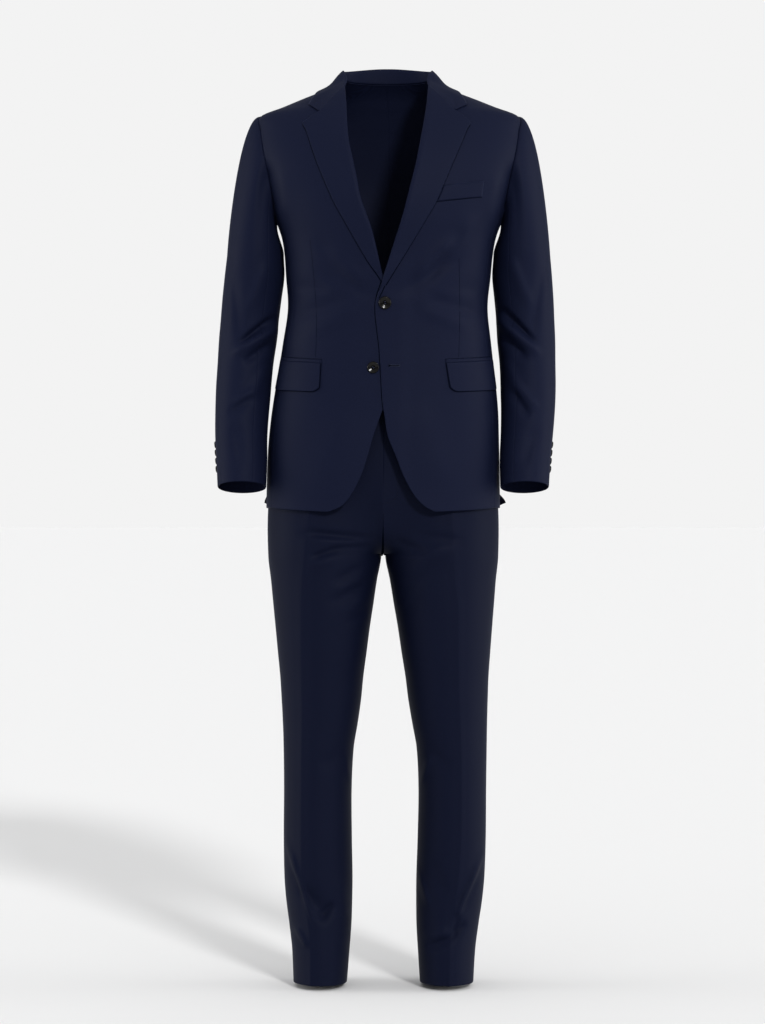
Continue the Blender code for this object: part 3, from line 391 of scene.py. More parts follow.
def body_surface(side, angle, z):
    angle = np.asarray(angle, float)
    half = BODY.at(z, "half_width")
    middle = BODY.at(z, "side_y")
    across, ahead = squircle(angle)
    reach = np.where(ahead > 0, BODY.at(z, "front") - middle, middle - BODY.at(z, "back"))
    x = half * across
    y = middle + reach * ahead
    in_front = lap_height(side, x, z) + fold_height(JACKET_FOLDS, side, x, z)
    behind = fold_height(BACK_FOLDS, side, x, z)
    y = y - in_front * smoothstep(0, FACING, ahead) + behind * smoothstep(0, FACING, -ahead)
    return place(side, x, y, z)


def body(side, angle, z, out=0.0):
    return moved_out(body_surface, side, angle, z, out, 1.0, 2.0)


def angle_of(x, z):
    """The angle round the body at which its front lies at x."""
    share = np.clip(np.abs(x) / BODY.at(z, "half_width"), 1e-6, 0.9999)
    cot = (share**-SQUARENESS - 1) ** (1 / SQUARENESS)
    return np.sign(x) * np.degrees(np.arctan2(1, cot))


def on_front(side, x, z, out=0.0):
    return body(side, angle_of(x, z), z, out)


def armhole(turn):
    """Angle and level on the body at a turn round the armhole: 0 crown, 90 front, 180 underarm, 270 back."""
    turn = np.radians(turn)
    return 90 - ARMHOLE_HALF_ANGLE * np.sin(turn), ARMHOLE_MID_Z + ARMHOLE_HALF_HEIGHT * np.cos(turn)


SLEEVE_FACING = (-0.15, 0.35)  # folds fade in from the sleeve's side to its front or back
SLEEVE_SIDEWAYS = 0.7  # share of a fold that also moves the cloth sideways


def sleeve_ring(side, turn, z):
    """Points round the sleeve below its cap: 0 outside, 90 front, 180 underarm."""
    tilt = np.radians(SLEEVE.at(z, "tilt"))
    c = np.cos(np.radians(turn))
    s = np.sin(np.radians(turn))
    x = SLEEVE.at(z, "x") + SLEEVE.at(z, "half_width") * c
    depth = SLEEVE.at(z, "half_depth") * s
    rise = z + depth * np.sin(tilt)
    ahead = fold_height(SLEEVE_FOLDS, side, x, rise) * smoothstep(*SLEEVE_FACING, s)
    behind = fold_height(SLEEVE_BACK_FOLDS, side, x, rise) * smoothstep(*SLEEVE_FACING, -s)
    bump = ahead + behind
    y = SLEEVE.at(z, "y") - (depth + bump * s) * np.cos(tilt)
    return place(side, x + bump * c * SLEEVE_SIDEWAYS, y, rise)


SLEEVE_HEAD = 1.6  # the sleeve head stands this proud of the shoulder, just outside its seam
HEAD_AT = 0.1  # share of the cap where it does
# how strongly the cap leaves the armhole, at the crown and under the arm, and how it arrives below
CAP_OUT = (96, 4)
CAP_FORWARD = 16
CAP_UP = (6, -52)
CAP_REACH = 0.85
CAP_LEAN = 0.06
ARMHOLE_LAP = 0.4  # the cap starts this far inside the armhole, and half a millimetre out under the arm


def sleeve_cap(side, turn, t):
    """The sleeve cap, from the armhole at t = 0 to the first full section at t = 1."""
    angle, level = armhole(turn)
    start = body(side, angle, level)
    end = sleeve_ring(side, turn, np.full(np.shape(turn), SLEEVE_TOP_Z))
    radian = np.radians(turn)
    under = (1 - np.cos(radian)) / 2
    mirrored = sign_of(side)
    leave = np.stack(
        [mirrored * lerp(*CAP_OUT, under), -CAP_FORWARD * np.sin(radian), lerp(*CAP_UP, under)], axis=-1,
    )
    reach = np.linalg.norm(end - start, axis=-1) * CAP_REACH
    arrive = np.stack([mirrored * CAP_LEAN * reach, 0 * reach, -reach], axis=-1)
    start = start - unit(leave) * ARMHOLE_LAP
    start[..., 0] += mirrored * 0.5 * under
    t = np.asarray(t)[..., None]
    points = hermite(start, leave, end, arrive, t)
    head = SLEEVE_HEAD * np.exp(-(((t[..., 0] - HEAD_AT) / HEAD_AT) ** 2)) * (1 - under) ** 2
    points[..., 2] += head
    return points


UNDER_SWEEP = 3  # the middle seam runs under the body early
CLOSED_SWEEP = 16  # but the two legs stay together until just above the fork


def crotch_share(z, sharpness):
    """How far the middle seam has swept under the body at a level: 0 upright, 1 at the fork."""
    t = np.clip((CROTCH_TOP - z) / (CROTCH_TOP - FORK_Z), 0.0, 1.0)
    return 1 - (1 - t**sharpness) ** 0.5


CREASE_HEIGHT = 1.5
CREASE_WIDTH = 8.0  # degrees round the leg to each side
CREASE_FRONT_FADE = (-620, -560)
CREASE_BACK_FADE = (-800, -700)
HEM_SLANT_TOP = -1400


def crease_height(turn):
    """A pressed crease: a sharp edge with flat flanks."""
    return CREASE_HEIGHT * np.maximum(0.0, 1 - np.abs(turn) / CREASE_WIDTH)


def hip_section(angle, z):
    """A point of the hips' section, before the sway."""
    across, ahead = squircle(angle)
    y = np.where(ahead > 0, HIPS.at(z, "front") * ahead, -HIPS.at(z, "back") * ahead)
    return HIPS.at(z, "half_width") * across, y


def trouser_surface(side, turn, z):
    """A leg that becomes half of the hips above the fork; turn is 0 on the front crease, -90 inside."""
    turn = np.asarray(turn, float)
    toe = LEG.at(z, "toe_" + side) * np.cos(np.radians(turn))
    front = LEG.at(z, "front")
    back = LEG.at(z, "back")
    ring_x = LEG.at(z, "x") + LEG.at(z, "half_width") * np.sin(np.radians(turn + toe))
    ring_y = (front + back) / 2 - (back - front) / 2 * np.cos(np.radians(turn + toe))
    from_front = np.minimum(turn, 180 - turn)
    inner = np.minimum(1.0, np.abs(from_front / 90 + 1))
    near = lerp(0, HIP_CREASE_ANGLE, from_front / 90 + 1)
    far = lerp(HIP_CREASE_ANGLE, 90, from_front / 90)
    angle = np.where(from_front < 0, near, far)
    angle = np.where(turn > 90, 180 - angle, angle)
    hip_x, hip_y = hip_section(angle, z)
    outside = smooth_fall(z, FORK_Z, HIP_BLEND_TOP)
    x = lerp(hip_x, ring_x, lerp(crotch_share(z, CLOSED_SWEEP), outside, inner))
    y = lerp(hip_y, ring_y, lerp(crotch_share(z, UNDER_SWEEP), outside, inner))
    cosine = np.cos(np.radians(turn))
    y = y - crease_height(turn) * smooth_fall(z, *CREASE_FRONT_FADE)
    y = y + crease_height(turn - 180) * smooth_fall(z, *CREASE_BACK_FADE)
    y = y - fold_height(LEG_FOLDS, side, x, z) * np.sqrt(np.maximum(cosine, 0))
    y = y + fold_height(LEG_BACK_FOLDS, side, x, z) * np.sqrt(np.maximum(-cosine, 0))
    hem = smooth_fall(z, TROUSER_HEM, HEM_SLANT_TOP) * HEM_SLANT * (cosine - 1)
    return place(side, x, y, z + hem)


def trouser(side, turn, z, out=0.0):
    return moved_out(trouser_surface, side, turn, z, out, 1.5, 2.0)


def hip_surface(side, angle, z):
    return place(side, *hip_section(angle, z), z)


def hips(side, angle, z, out=0.0):
    return moved_out(hip_surface, side, angle, z, out, 2.0, 4.0)


# %% [markdown]
# ## Cloth as a thin shell
#
# A panel is a grid of points on its surface with its border rolled under by half a millimetre, the way
# a pressed seam or a turned edge dips. A solidify gives it the thickness of cloth. The grid's lengths
# along its rows and columns become UVs in millimetres, so a weave keeps its real scale and its grain.

# %% Making a shell from a grid
CLOTH = 1.3  # millimetres
ROLL = 0.5  # how far a border dips at a seam
ROLL_WIDTH = 2.4
SEAM_LAP = 0.4  # panels run this far into each other, so a seam seen square on lets no light through
BORDER_STEPS = np.array([0.3, 0.8, 1.6])  # extra rows of points near a border, in border widths


def stations(low, high, count, border=None):
    """Even steps from low to high, with a few more just inside both ends."""
    even = np.linspace(low, high, count + 1)
    if border is None:
        return even
    return np.unique(np.concatenate([even, low + BORDER_STEPS * border, high - BORDER_STEPS * border]))


def lengths(grid):
    """Distance along each row and each column of a grid, in millimetres."""
    along = np.linalg.norm(np.diff(grid, axis=1), axis=2)
    down = np.linalg.norm(np.diff(grid, axis=0), axis=2)
    across = np.concatenate([np.zeros((len(grid), 1)), np.cumsum(along, axis=1)], axis=1)
    fall = np.concatenate([np.zeros((1, grid.shape[1])), np.cumsum(down, axis=0)], axis=0)
    return across, fall


def grid_normals(grid, outward):
    """Unit normals of a grid, turned to the side that outward points to."""
    over = np.gradient(grid, axis=1)
    up = np.gradient(grid, axis=0)
    normals = unit(np.cross(over, up))
    if (normals * outward).sum() < 0:
        normals = -normals
    return normals


def roll_border(grid, normals, edges):
    """Dips a grid's border, as a pressed edge does: left, right, top and bottom by their letters."""
    across, fall = lengths(grid)
    far_across = across[:, -1:] - across
    far_fall = fall[-1:, :] - fall
    distances = {"l": across, "r": far_across, "b": fall, "t": far_fall}
    nearest = np.full(grid.shape[:2], 1e3)
    for edge in edges:
        nearest = np.minimum(nearest, distances[edge])
    share = np.clip(nearest / ROLL_WIDTH, 0, 1)
    dip = ROLL * (1 - np.sqrt(np.maximum(0, 1 - (1 - share) ** 2)))
    grid = grid - normals * dip[..., None]
    steps = {
        "l": (np.s_[:, 0], np.s_[:, 1]), "r": (np.s_[:, -1], np.s_[:, -2]),
        "b": (np.s_[0], np.s_[1]), "t": (np.s_[-1], np.s_[-2]),
    }
    for edge in edges:
        rim, inside = steps[edge]
        grid[rim] -= unit(grid[inside] - grid[rim]) * SEAM_LAP
    return grid


def add_piece(name, data, nodes=()):
    """Puts a visible piece into the scene, on the one body, for the solids that it stands for."""
    piece = bpy.data.objects.new(name, data)
    bpy.context.scene.collection.objects.link(piece)
    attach(piece, "root")
    if nodes:
        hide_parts(*nodes)
    return piece


def shell(name, grid, outward, material, node, slot="navy_wool", thick=CLOTH, edges="lrtb"):
    """A thin shell of cloth from a grid of points in millimetres."""
    grid = np.asarray(grid, float)
    across, fall = lengths(grid)
    normals = grid_normals(grid, outward)
    if edges:
        grid = roll_border(grid, normals, edges)
    rows, columns = grid.shape[:2]
    index = np.arange(rows * columns).reshape(rows, columns)
    corners = [index[:-1, :-1], index[:-1, 1:], index[1:, 1:], index[1:, :-1]]
    quads = np.stack(corners, axis=-1).reshape(-1, 4)
    middle = (rows // 2, columns // 2)
    over, up = np.gradient(grid, axis=1)[middle], np.gradient(grid, axis=0)[middle]
    if np.cross(over, up) @ normals[middle] < 0:
        quads = quads[:, ::-1]
    mesh = bpy.data.meshes.new(name)
    mesh.from_pydata((grid.reshape(-1, 3) * MM).tolist(), [], quads.tolist())
    layer = mesh.uv_layers.new(name="millimetres")
    uv = np.stack([across, fall], axis=-1).reshape(-1, 2)
    corner = np.empty(len(mesh.loops), np.int32)
    mesh.loops.foreach_get("vertex_index", corner)
    layer.data.foreach_set("uv", uv[corner].reshape(-1))
    mesh.shade_smooth()
    mesh.materials.append(material)
    piece = add_piece(name, mesh, [node])
    wall = piece.modifiers.new("cloth", "SOLIDIFY")
    wall.thickness = thick * MM
    wall.offset = -1
    wall.use_even_offset = False
    return piece


def cut(piece):
    """Reads the UVs of a piece's mesh into an array and returns the piece as it is."""
    mesh = piece.data
    layer = mesh.uv_layers[0].data
    uv = np.empty(len(layer) * 2)
    layer.foreach_get("uv", uv)
    return piece


# %% [markdown]
# ## Materials
#
# ** Navy worsted** is a fine, hard-spun twill, pressed: matt, with a little light along its fuzz at grazing
# angles. It could be woven in geometry or carry a scanned swatch; a wave pattern with a small relief
# is chosen because it stays right at any distance. The trousers hang in more shade, and that shade is
# painted into their colour: theirs is a tone darker. **Dark horn** is turned and polished on its rim, so it
# glints, while the middle is left matt. **Silk and polyester thread** are dark, slightly shiny yarns.

# %% Colour and node helpers
def linear(hexcode):
    """An sRGB hex colour as linear light."""
    values = [int(hexcode[i : i + 2], 16) / 255 for i in (1, 3, 5)]
    return tuple(v / 12.92 if v <= 0.04045 else ((v + 0.055) / 1.055) ** 2.4 for v in values)


def add_node(tree, kind, links=None, **settings):
    """Adds a node, sets its properties and sockets, and links what feeds it."""
    node = tree.nodes.new(kind)
    for key, value in settings.items():
        if hasattr(node, key):
            setattr(node, key, value)
        else:
            node.inputs[key.replace("_", " ")].default_value = value
    for socket, source in (links or {}).items():
        tree.links.new(source, node.inputs[socket])
    return node


def tone_ramp(tree, source, *stops):
    """Turns a pattern's value into a colour between two stops of (position, hex)."""
    ramp = add_node(tree, "ShaderNodeValToRGB", {"Fac": source})
    for element, (position, hexcode) in zip(ramp.color_ramp.elements, stops):
        element.position = position
        element.color = (*linear(hexcode), 1)
    return ramp.outputs["Color"]


def new_material(name, base, roughness, **sockets):
    """A Principled material with plain numbers on its own sockets."""
    material = bpy.data.materials.new(name)
    material.use_nodes = True
    tree = material.node_tree
    shader = tree.nodes["Principled BSDF"]
    shader.inputs["Base Color"].default_value = (*linear(base), 1)
    shader.inputs["Roughness"].default_value = roughness
    for key, value in sockets.items():
        shader.inputs[key.replace("_", " ")].default_value = value
    return material, tree, shader


# %% Navy worsted
# A fine twill's diagonals lie about 0.6 mm apart, too fine to show, so they are drawn 1.6 mm apart: as
# coarse as it needs for the cloth to have a grain.
TWILL_PITCH = 1.6
WAVE_PERIOD = 0.444  # millimetres between diagonal bands at a scale of 1
SLUB = 0.35  # yarns change in tone over about 3 mm
NAVY = ("#0D1123", "#12172C")
# The trousers' navy is the jacket's cloth a tone darker: painted shade, for the dimmer light on the legs
TROUSER_NAVY_SHADED = ("#090D1D", "#0C1125")
INSIDE_NAVY = ("#0C0F1E", "#101426")
FUZZ = "#6472A8"  # light caught by the ends of the fibres


def worsted(name, dark, light):
    """Two-ply worsted twill: the tone of its diagonals and of its yarns, and a very shallow relief."""
    material, tree, shader = new_material(
        name, dark, 0.6, Specular_IOR_Level=0.045, Sheen_Weight=0.13, Sheen_Roughness=0.17,
    )
    shader.inputs["Sheen Tint"].default_value = (*linear(FUZZ), 1)
    where = add_node(tree, "ShaderNodeUVMap", uv_map="millimetres")
    twill = add_node(
        tree, "ShaderNodeTexWave", {"Vector": where.outputs["UV"]}, wave_type="BANDS",
        bands_direction="DIAGONAL", Scale=WAVE_PERIOD / TWILL_PITCH, Distortion=0.6, Detail=1.0,
    )
    slub = add_node(
        tree, "ShaderNodeTexNoise", {"Vector": where.outputs["UV"]},
        Scale=SLUB, Detail=3.0, Roughness=0.55,
    )
    blend = add_node(
        tree, "ShaderNodeMix", {"A": twill.outputs["Fac"], "B": slub.outputs["Fac"]},
        data_type="FLOAT", blend_type="MIX", Factor=0.6,
    )
    tone = tone_ramp(tree, blend.outputs["Result"], (0.3, dark), (0.7, light))
    tree.links.new(tone, shader.inputs["Base Color"])
    relief = add_node(
        tree, "ShaderNodeBump", {"Height": twill.outputs["Fac"]}, Strength=0.25, Distance=0.00008,
    )
    tree.links.new(relief.outputs["Normal"], shader.inputs["Normal"])
    return material


navy = worsted("navy worsted twill, pressed", *NAVY)
navy_trousers_shaded = worsted("navy worsted twill, trousers, painted shade", *TROUSER_NAVY_SHADED)
navy_inside = worsted("navy worsted twill, inside", *INSIDE_NAVY)
# Painted shadow: near-black navy for thin beads in a dart, under an edge, in the fork and in a buttonhole,
# where shade falls; no gloss at all
painted_shadow = new_material("shadowed seam in navy worsted", "#02050E", 0.95, Specular_IOR_Level=0.0)[0]
# Silk twist is round and smooth, so its stitches catch a little light; sewing thread is duller
thread = new_material("navy silk buttonhole twist", "#1A2036", 0.5, Specular_IOR_Level=0.2)[0]
fly_thread = new_material("navy polyester sewing thread", "#0A0E1C", 0.6, Specular_IOR_Level=0.1)[0]
print("cloth", *NAVY, "twill drawn at", TWILL_PITCH, "mm")


# %% Dark horn
HORN_STREAK = 140.0  # in metres: brown streaks of about 7 mm


def horn(name, roughness, gloss):
    """Buffalo horn, turned: near black with brown streaks."""
    material, tree, shader = new_material(name, "#050403", roughness, Specular_IOR_Level=gloss)
    where = add_node(tree, "ShaderNodeTexCoord")
    streaks = add_node(
        tree, "ShaderNodeTexNoise", {"Vector": where.outputs["Object"]},
        Scale=HORN_STREAK, Detail=4.0, Roughness=0.6, Distortion=1.2,
    )
    tone = tone_ramp(tree, streaks.outputs["Fac"], (0.4, "#020202"), (0.75, "#0D0B07"))
    tree.links.new(tone, shader.inputs["Base Color"])
    return material


# The polished rim mirrors the lights as small glints; the middle, straight from the tool, stays dull
horn_dark = horn("dark horn, polished rim", 0.18, 0.2)
horn_matt = horn("dark horn, matt turned middle", 0.7, 0.05)
# Painted shadow: each hole of a button is a flat near-black disc on its face, not an opening
hole_shadow = new_material("shadow inside a button's hole", "#050506", 0.95, Specular_IOR_Level=0.0)[0]
print("horn streaks", round(1 / HORN_STREAK / MM, 1), "mm")


# %% [markdown]
# ## Jacket body
#
# Front, side body and back of each side meet in two seams under the arm, and all three end on the
# armhole. The fronts curve away below the lower button. Each hem and edge is turned, so it is soft and
# a little thicker than the cloth. The side seams stand open from the hip pocket down: those are the
# vents, and the back's corner shows beside the front's.

# %% Fronts, sides and backs
FRONT_COLUMNS = 72
BACK_COLUMNS = 52
SIDE_COLUMNS = 26
ROWS_PER_STATION = 5
BORDER = 0.16
NEAR_BORDER = 3  # border rows near a side edge, in border widths
LAP_TUCK = (0.8, -362, -350)  # the front's edge tucks in this much over these levels, under the lapel
NECK_EDGE_TUCK = (3.5, -60, -25)
VENT_FLARE = 3.5  # how far the back stands out at its open vent,
VENT_RISE, VENT_REACH = (-740, -540), (104, 126)  # over these levels and angles
VENT_CORNER = {"left": 14.0, "right": 7.0}  # how far the lower corner of each vent turns out
CORNER_RISE, CORNER_REACH = (-722, -686), (107, 121)
VENT_CORNER_LIFT = 9.0


def outward_of(grid):
    """Roughly out from the body's upright axis."""
    return grid * np.array([1.0, 1.0, 0.0])


def edge_x(side, z):
    tuck = sum(depth * smoothstep(low, high, z) for depth, low, high in (LAP_TUCK, NECK_EDGE_TUCK))
    return FRONT_EDGE.at(z, side) + tuck


def panel_net(last, columns):
    """Stations up a panel as a column, and shares across it as a row."""
    rows = stations(0, last, last * ROWS_PER_STATION, BORDER)
    return rows[:, None], stations(0, 1, columns, BORDER / columns * NEAR_BORDER)[None, :]


def side_edge(station, panel):
    """Angle and level of a panel's side edge: the side seam, then the armhole, then the shoulder."""
    turned = (np.clip(station, ARMHOLE_STATION, CROWN_STATION) - ARMHOLE_STATION) * ARMHOLE_STEP
    turn = SIDE_SEAM_TURN - turned if panel == "front" else 360 - SIDE_SEAM_TURN + turned
    hole_angle, hole_z = armhole(turn)
    level = PANEL_ROWS.at(station, "side")
    angle = np.where(station < ARMHOLE_STATION, SIDE_SEAMS.at(level, panel), hole_angle)
    on_hole = (station >= ARMHOLE_STATION) & (station <= CROWN_STATION)
    return np.where(station > CROWN_STATION, 90.0, angle), np.where(on_hole, hole_z, level)


def front_grid(side):
    station, share = panel_net(LAST_STATION, FRONT_COLUMNS)
    edge_z = PANEL_ROWS.at(station, "front")
    start_x = edge_x(side, edge_z)
    start = angle_of(start_x, edge_z)
    seam, seam_z = side_edge(station, "front")
    z = lerp(edge_z, seam_z, share)
    by_angle = lerp(start, seam, share)
    half = BODY.at(seam_z, "half_width")
    by_x = np.where(share < 1, angle_of(lerp(start_x, half, share), z), 90.0)
    shoulder = np.clip(station - CROWN_STATION, 0, 1)
    return lerp(by_angle, by_x, shoulder), z


def side_grid():
    station, share = panel_net(ARMHOLE_STATION, SIDE_COLUMNS)
    z = PANEL_ROWS.at(station, "side")
    angle = lerp(SIDE_SEAMS.at(z, "front"), SIDE_SEAMS.at(z, "back"), share)
    under_angle, under_z = armhole(lerp(SIDE_SEAM_TURN, 360 - SIDE_SEAM_TURN, share))
    top = np.clip(station - ARMHOLE_STATION + 1, 0, 1)
    return lerp(angle, under_angle, top), lerp(z + 0 * share, under_z, top)


def vented_body(side, angle, z):
    """The back's surface, standing out along its vent and turned out at the corner."""
    flare = VENT_FLARE * smooth_fall(z, *VENT_RISE) * smooth_fall(angle, *VENT_REACH)
    corner = smooth_fall(z, *CORNER_RISE) * smooth_fall(angle, *CORNER_REACH)
    points = body(side, angle, z, flare + VENT_CORNER[side] * corner)
    points[..., 2] += VENT_CORNER_LIFT * corner
    return points


def back_grid():
    station, share = panel_net(LAST_STATION, BACK_COLUMNS)
    seam, seam_z = side_edge(station, "back")
    return lerp(seam, 180.0, share), lerp(seam_z, PANEL_ROWS.at(station, "back"), share)


jacket = {}
for side in SIDES:
    for part, label, grid in (
        ("front", "front", body(side, *front_grid(side))),
        ("side", "side_body", body(side, *side_grid())),
        ("back", "back", vented_body(side, *back_grid())),
    ):
        jacket[part, side] = shell(f"{label}_{side}", grid, outward_of(grid), navy, f"jacket_{part}_{side}")
for piece in jacket.values():
    cut(piece)


# %% [markdown]
# ## Sleeves
#
# A two-piece sleeve: a top sleeve in front and outside, and an under sleeve inside and behind. The front
# seam is turned to the inside of the arm; the hind seam runs down behind the arm's outside, to the cuff
# buttons. The sleeve hangs a little forward. Its head is eased into the armhole, so it stands slightly
# proud of the shoulder there, and the cloth breaks at the elbow.

# %% Top and under sleeves
SLEEVE_COLUMNS = {"top": 62, "under": 50}
CAP_ROWS = 30
SLEEVE_ROWS = 118
HEM_ROWS = np.array([1.6, 0.6])  # extra rows this far above a hem, where it rolls under
SLEEVE_MIDDLE = (236.0, -10.0)
LEG_MIDDLE = (100.0, 0.0)


def sleeve_points(side, first, last, columns):
    turn = stations(first, last, columns, 1.0)[None, :]
    cap = stations(0, 1, CAP_ROWS)[:-1, None]
    ring = np.append(stations(SLEEVE_TOP_Z, SLEEVE_HEM_Z, SLEEVE_ROWS), SLEEVE_HEM_Z + HEM_ROWS)
    ring = -np.sort(-ring)[:, None]
    head = sleeve_cap(side, *np.broadcast_arrays(turn, cap))
    below = sleeve_ring(side, *np.broadcast_arrays(turn, ring))
    return np.concatenate([head, below])


def out_of_tube(grid, middle_x, middle_y):
    """Roughly out from the upright axis of a sleeve or a leg."""
    outward = grid - np.array([middle_x, middle_y, 0.0])
    outward[..., 2] = 0
    return outward


for side in SIDES:
    for part, (first, last) in SLEEVE_SEAMS.items():
        grid = sleeve_points(side, first, last, SLEEVE_COLUMNS[part])
        outward = out_of_tube(grid, sign_of(side) * SLEEVE_MIDDLE[0], SLEEVE_MIDDLE[1])
        cut(shell(f"{part}_sleeve_{side}", grid, outward, navy, f"sleeve_{part}_{side}"))


# %% [markdown]
# ## Lapels and collar
#
# A lapel is the front's own edge folded back. It rolls softly at the crease, lies on the chest, and its
# edge throws a thin shadow, drawn deeper by a bead of painted shadow. It is cut wider than it shows, and the
# break is above the top button. The collar stands behind the neck, folds over and lies on the shoulders; its
# front end meets the lapel in the gorge seam, and the two edges leave a notch.

# %% Lapels
def bent_at_notch(side, share, start, end):
    """A point (x, z) at this share of the gorge seam, which turns at the notch's corner."""
    k = GORGE_CORNER_SHARE
    first = np.minimum(share / k, 1)
    rest = np.clip((share - k) / (1 - k), 0, 1)
    return [
        np.where(share < k, lerp(a, corner, first), lerp(corner, b, rest))
        for a, corner, b in zip(start, NOTCH_CORNER[side], end)
    ]


def lapel_line(side, t, share):
    """Where a point of the lapel lies on the front: t from the break to the gorge, share across."""
    low = LAPEL_BREAK_Z[side]
    roll_z = lerp(low, GORGE_START[side][1], t)
    edge_z = lerp(low - 2, LAPEL_TIP[side][1], t)
    tip = smoothstep(0.95, 1.0, t)
    end_x = lerp(LAPEL_EDGE.at(edge_z, side), LAPEL_TIP[side][0], tip)
    start_x = FRONT_EDGE.at(roll_z, side)
    bent_x, bent_z = bent_at_notch(side, share, (start_x, roll_z), (end_x, edge_z))
    bend = smoothstep(0.85, 1.0, t)
    return lerp(lerp(start_x, end_x, share), bent_x, bend), lerp(lerp(roll_z, edge_z, share), bent_z, bend)


LAPEL_HEIGHT = Table("share height", [
    (0, 3.3), (0.06, 4.1), (0.2, 4.2), (0.41, 4.1), (0.62, 3.8), (0.82, 3.6), (1, 3.3),
])
LAPEL_SPRING = 2.2  # the roll stands this much higher halfway up its length
LAPEL_SINK = 0.9  # the lapel's lower end sinks this far into the front
ROLL_TURNS = np.radians(np.linspace(-80, 90, 9))[None, :-1]  # from behind the front's edge to its face
ROLL_FLATNESS = 0.85


def lapel_grid(side):
    up, across = stations(0, 1, 96, 0.006), stations(0, 1, 34, 0.012)
    t, share = np.broadcast_arrays(up[:, None], across[None, :])
    x, z = lapel_line(side, t, share)
    spring = LAPEL_SPRING * np.sin(pi * np.clip(t, 0, 1)) ** 2 * np.exp(-((share / 0.3) ** 2))
    lift = LAPEL_HEIGHT.at(share, "height") + spring
    lift = lift * smoothstep(-0.01, 0.12, t) - LAPEL_SINK * (1 - smoothstep(0, 0.06, t))
    flat = on_front(side, x, z, lift)
    top = lift[:, :1]
    radius = (top + 1.0) / 2
    out = top - radius + radius * np.sin(ROLL_TURNS)
    rolled_x = x[:, :1] - ROLL_FLATNESS * radius * np.cos(ROLL_TURNS)
    rolled = on_front(side, rolled_x, z[:, :1] + 0 * ROLL_TURNS, out)
    return np.concatenate([rolled, flat], axis=1)


def turned_cloth(name, grid, node, slot="navy_wool_turned", **settings):
    """A piece that is folded and pressed onto the jacket: lapel, flap, jet or welt."""
    return shell(name, grid, outward_of(grid), navy, node, slot, **settings)


for side in SIDES:
    lapel = turned_cloth(f"lapel_cloth_{side}", lapel_grid(side), f"lapel_{side}", edges="rbt")
    cut(lapel)


# %% The collar
COLLAR_SHOULDER_SHARE = 0.62
COLLAR_RISE = 3.3
COLLAR_WALL = 1.8
STAND_HEIGHTS = (27.0, 14.0, 5.0)  # at centre back, on the shoulder, at the front end
FALL_EDGE_Z = -12.4
NECK_TUCK = 3.5
NECK_LEVELS = (10, 12)  # of the neck edge, at centre back and on the shoulder seam
COLLAR_FOLD_STEPS = 22
COLLAR_FALL_STEPS = 26


def collar_path(v, levels, end_x):
    """Angle and level of a line from centre back (0) over the shoulder seam to the front (1)."""
    behind = np.clip(v / COLLAR_SHOULDER_SHARE, 0, 1)
    t = np.clip((v - COLLAR_SHOULDER_SHARE) / (1 - COLLAR_SHOULDER_SHARE), 0, 1)
    at_back = v <= COLLAR_SHOULDER_SHARE
    level = np.where(at_back, lerp(levels[0], levels[1], behind), lerp(levels[1], levels[2], t))
    x = lerp(BODY.at(levels[1], "half_width"), end_x, t)
    return np.where(at_back, lerp(180, 90, behind), angle_of(x, level)), level


def neckline(side, v):
    start_x, start_z = GORGE_START[side]
    return collar_path(v, (*NECK_LEVELS, start_z), start_x + NECK_TUCK)


def fall_edge(side, v):
    tip_x, tip_z = COLLAR_TIP[side]
    return collar_path(v, (FALL_EDGE_Z, FALL_EDGE_Z, tip_z), tip_x)


def collar_half(side):
    """Rows of points along one half of the collar, each from the foot of the stand to the fall's edge."""
    v = stations(0, 1, 74, 0.008)
    angle, level = neckline(side, v)
    foot = body(side, angle, level)
    normal = unit(body(side, angle, level, 1.0) - foot)
    ahead = body(side, *neckline(side, np.minimum(v + 0.03, 1.0)))
    behind = body(side, *neckline(side, np.maximum(v - 0.03, 0.0)))
    along = unit(ahead - behind)
    out_of_panel = unit(np.cross(along, normal)) * sign_of(side)
    lean = smoothstep(0.6, 0.95, v)[:, None]
    rise = unit(lerp(np.array([0, 0, 1.0]), out_of_panel, lean))
    side_normal = unit(np.cross(along, rise)) * sign_of(side)
    flip = (side_normal * normal).sum(axis=1) < 0
    side_normal[flip] = -side_normal[flip]
    to_shoulder = smoothstep(0, COLLAR_SHOULDER_SHARE, v)
    to_front = smoothstep(COLLAR_SHOULDER_SHARE, 1, v)
    height = lerp(lerp(*STAND_HEIGHTS[:2], to_shoulder), STAND_HEIGHTS[2], to_front)[:, None]
    seat = -COLLAR_WALL - 0.1
    # up the stand and over the fold, each step as (height, how far out)
    path = [
        (0.45 + 0 * height, seat), (height * 0.5, seat), (height - 1.2, -COLLAR_WALL),
        (height + 0.6, 0.3), (height - 0.9, 2.6),
    ]
    points = [foot + rise * up + side_normal * off for up, off in path]
    fold_end = points[-1]
    edge_angle, edge_level = fall_edge(side, v)
    rim = body(side, edge_angle, edge_level, COLLAR_RISE)
    gorge_z = GORGE_START[side][1]
    gorge = (FRONT_EDGE.at(gorge_z, side), gorge_z)
    fall = []
    for share in np.linspace(0, 1, COLLAR_FALL_STEPS + 1)[1:]:
        resting = body(side, lerp(angle, edge_angle, share), lerp(level, edge_level, share), COLLAR_RISE)
        hugging = lerp(smoothstep(0, 0.85, share), 1, smoothstep(0.66, 0.92, v))[:, None]
        regular = lerp(lerp(fold_end, rim, share), resting, hugging)
        last = on_front(side, *bent_at_notch(side, share, gorge, COLLAR_TIP[side]), COLLAR_RISE)
        fall.append(lerp(regular, last, smoothstep(0.86, 1.0, v)[:, None]))
    folded = smooth_line([*points, fall[0]], COLLAR_FOLD_STEPS)
    rows = np.concatenate([folded, np.array(fall[1:])])
    return np.swapaxes(rows, 0, 1)


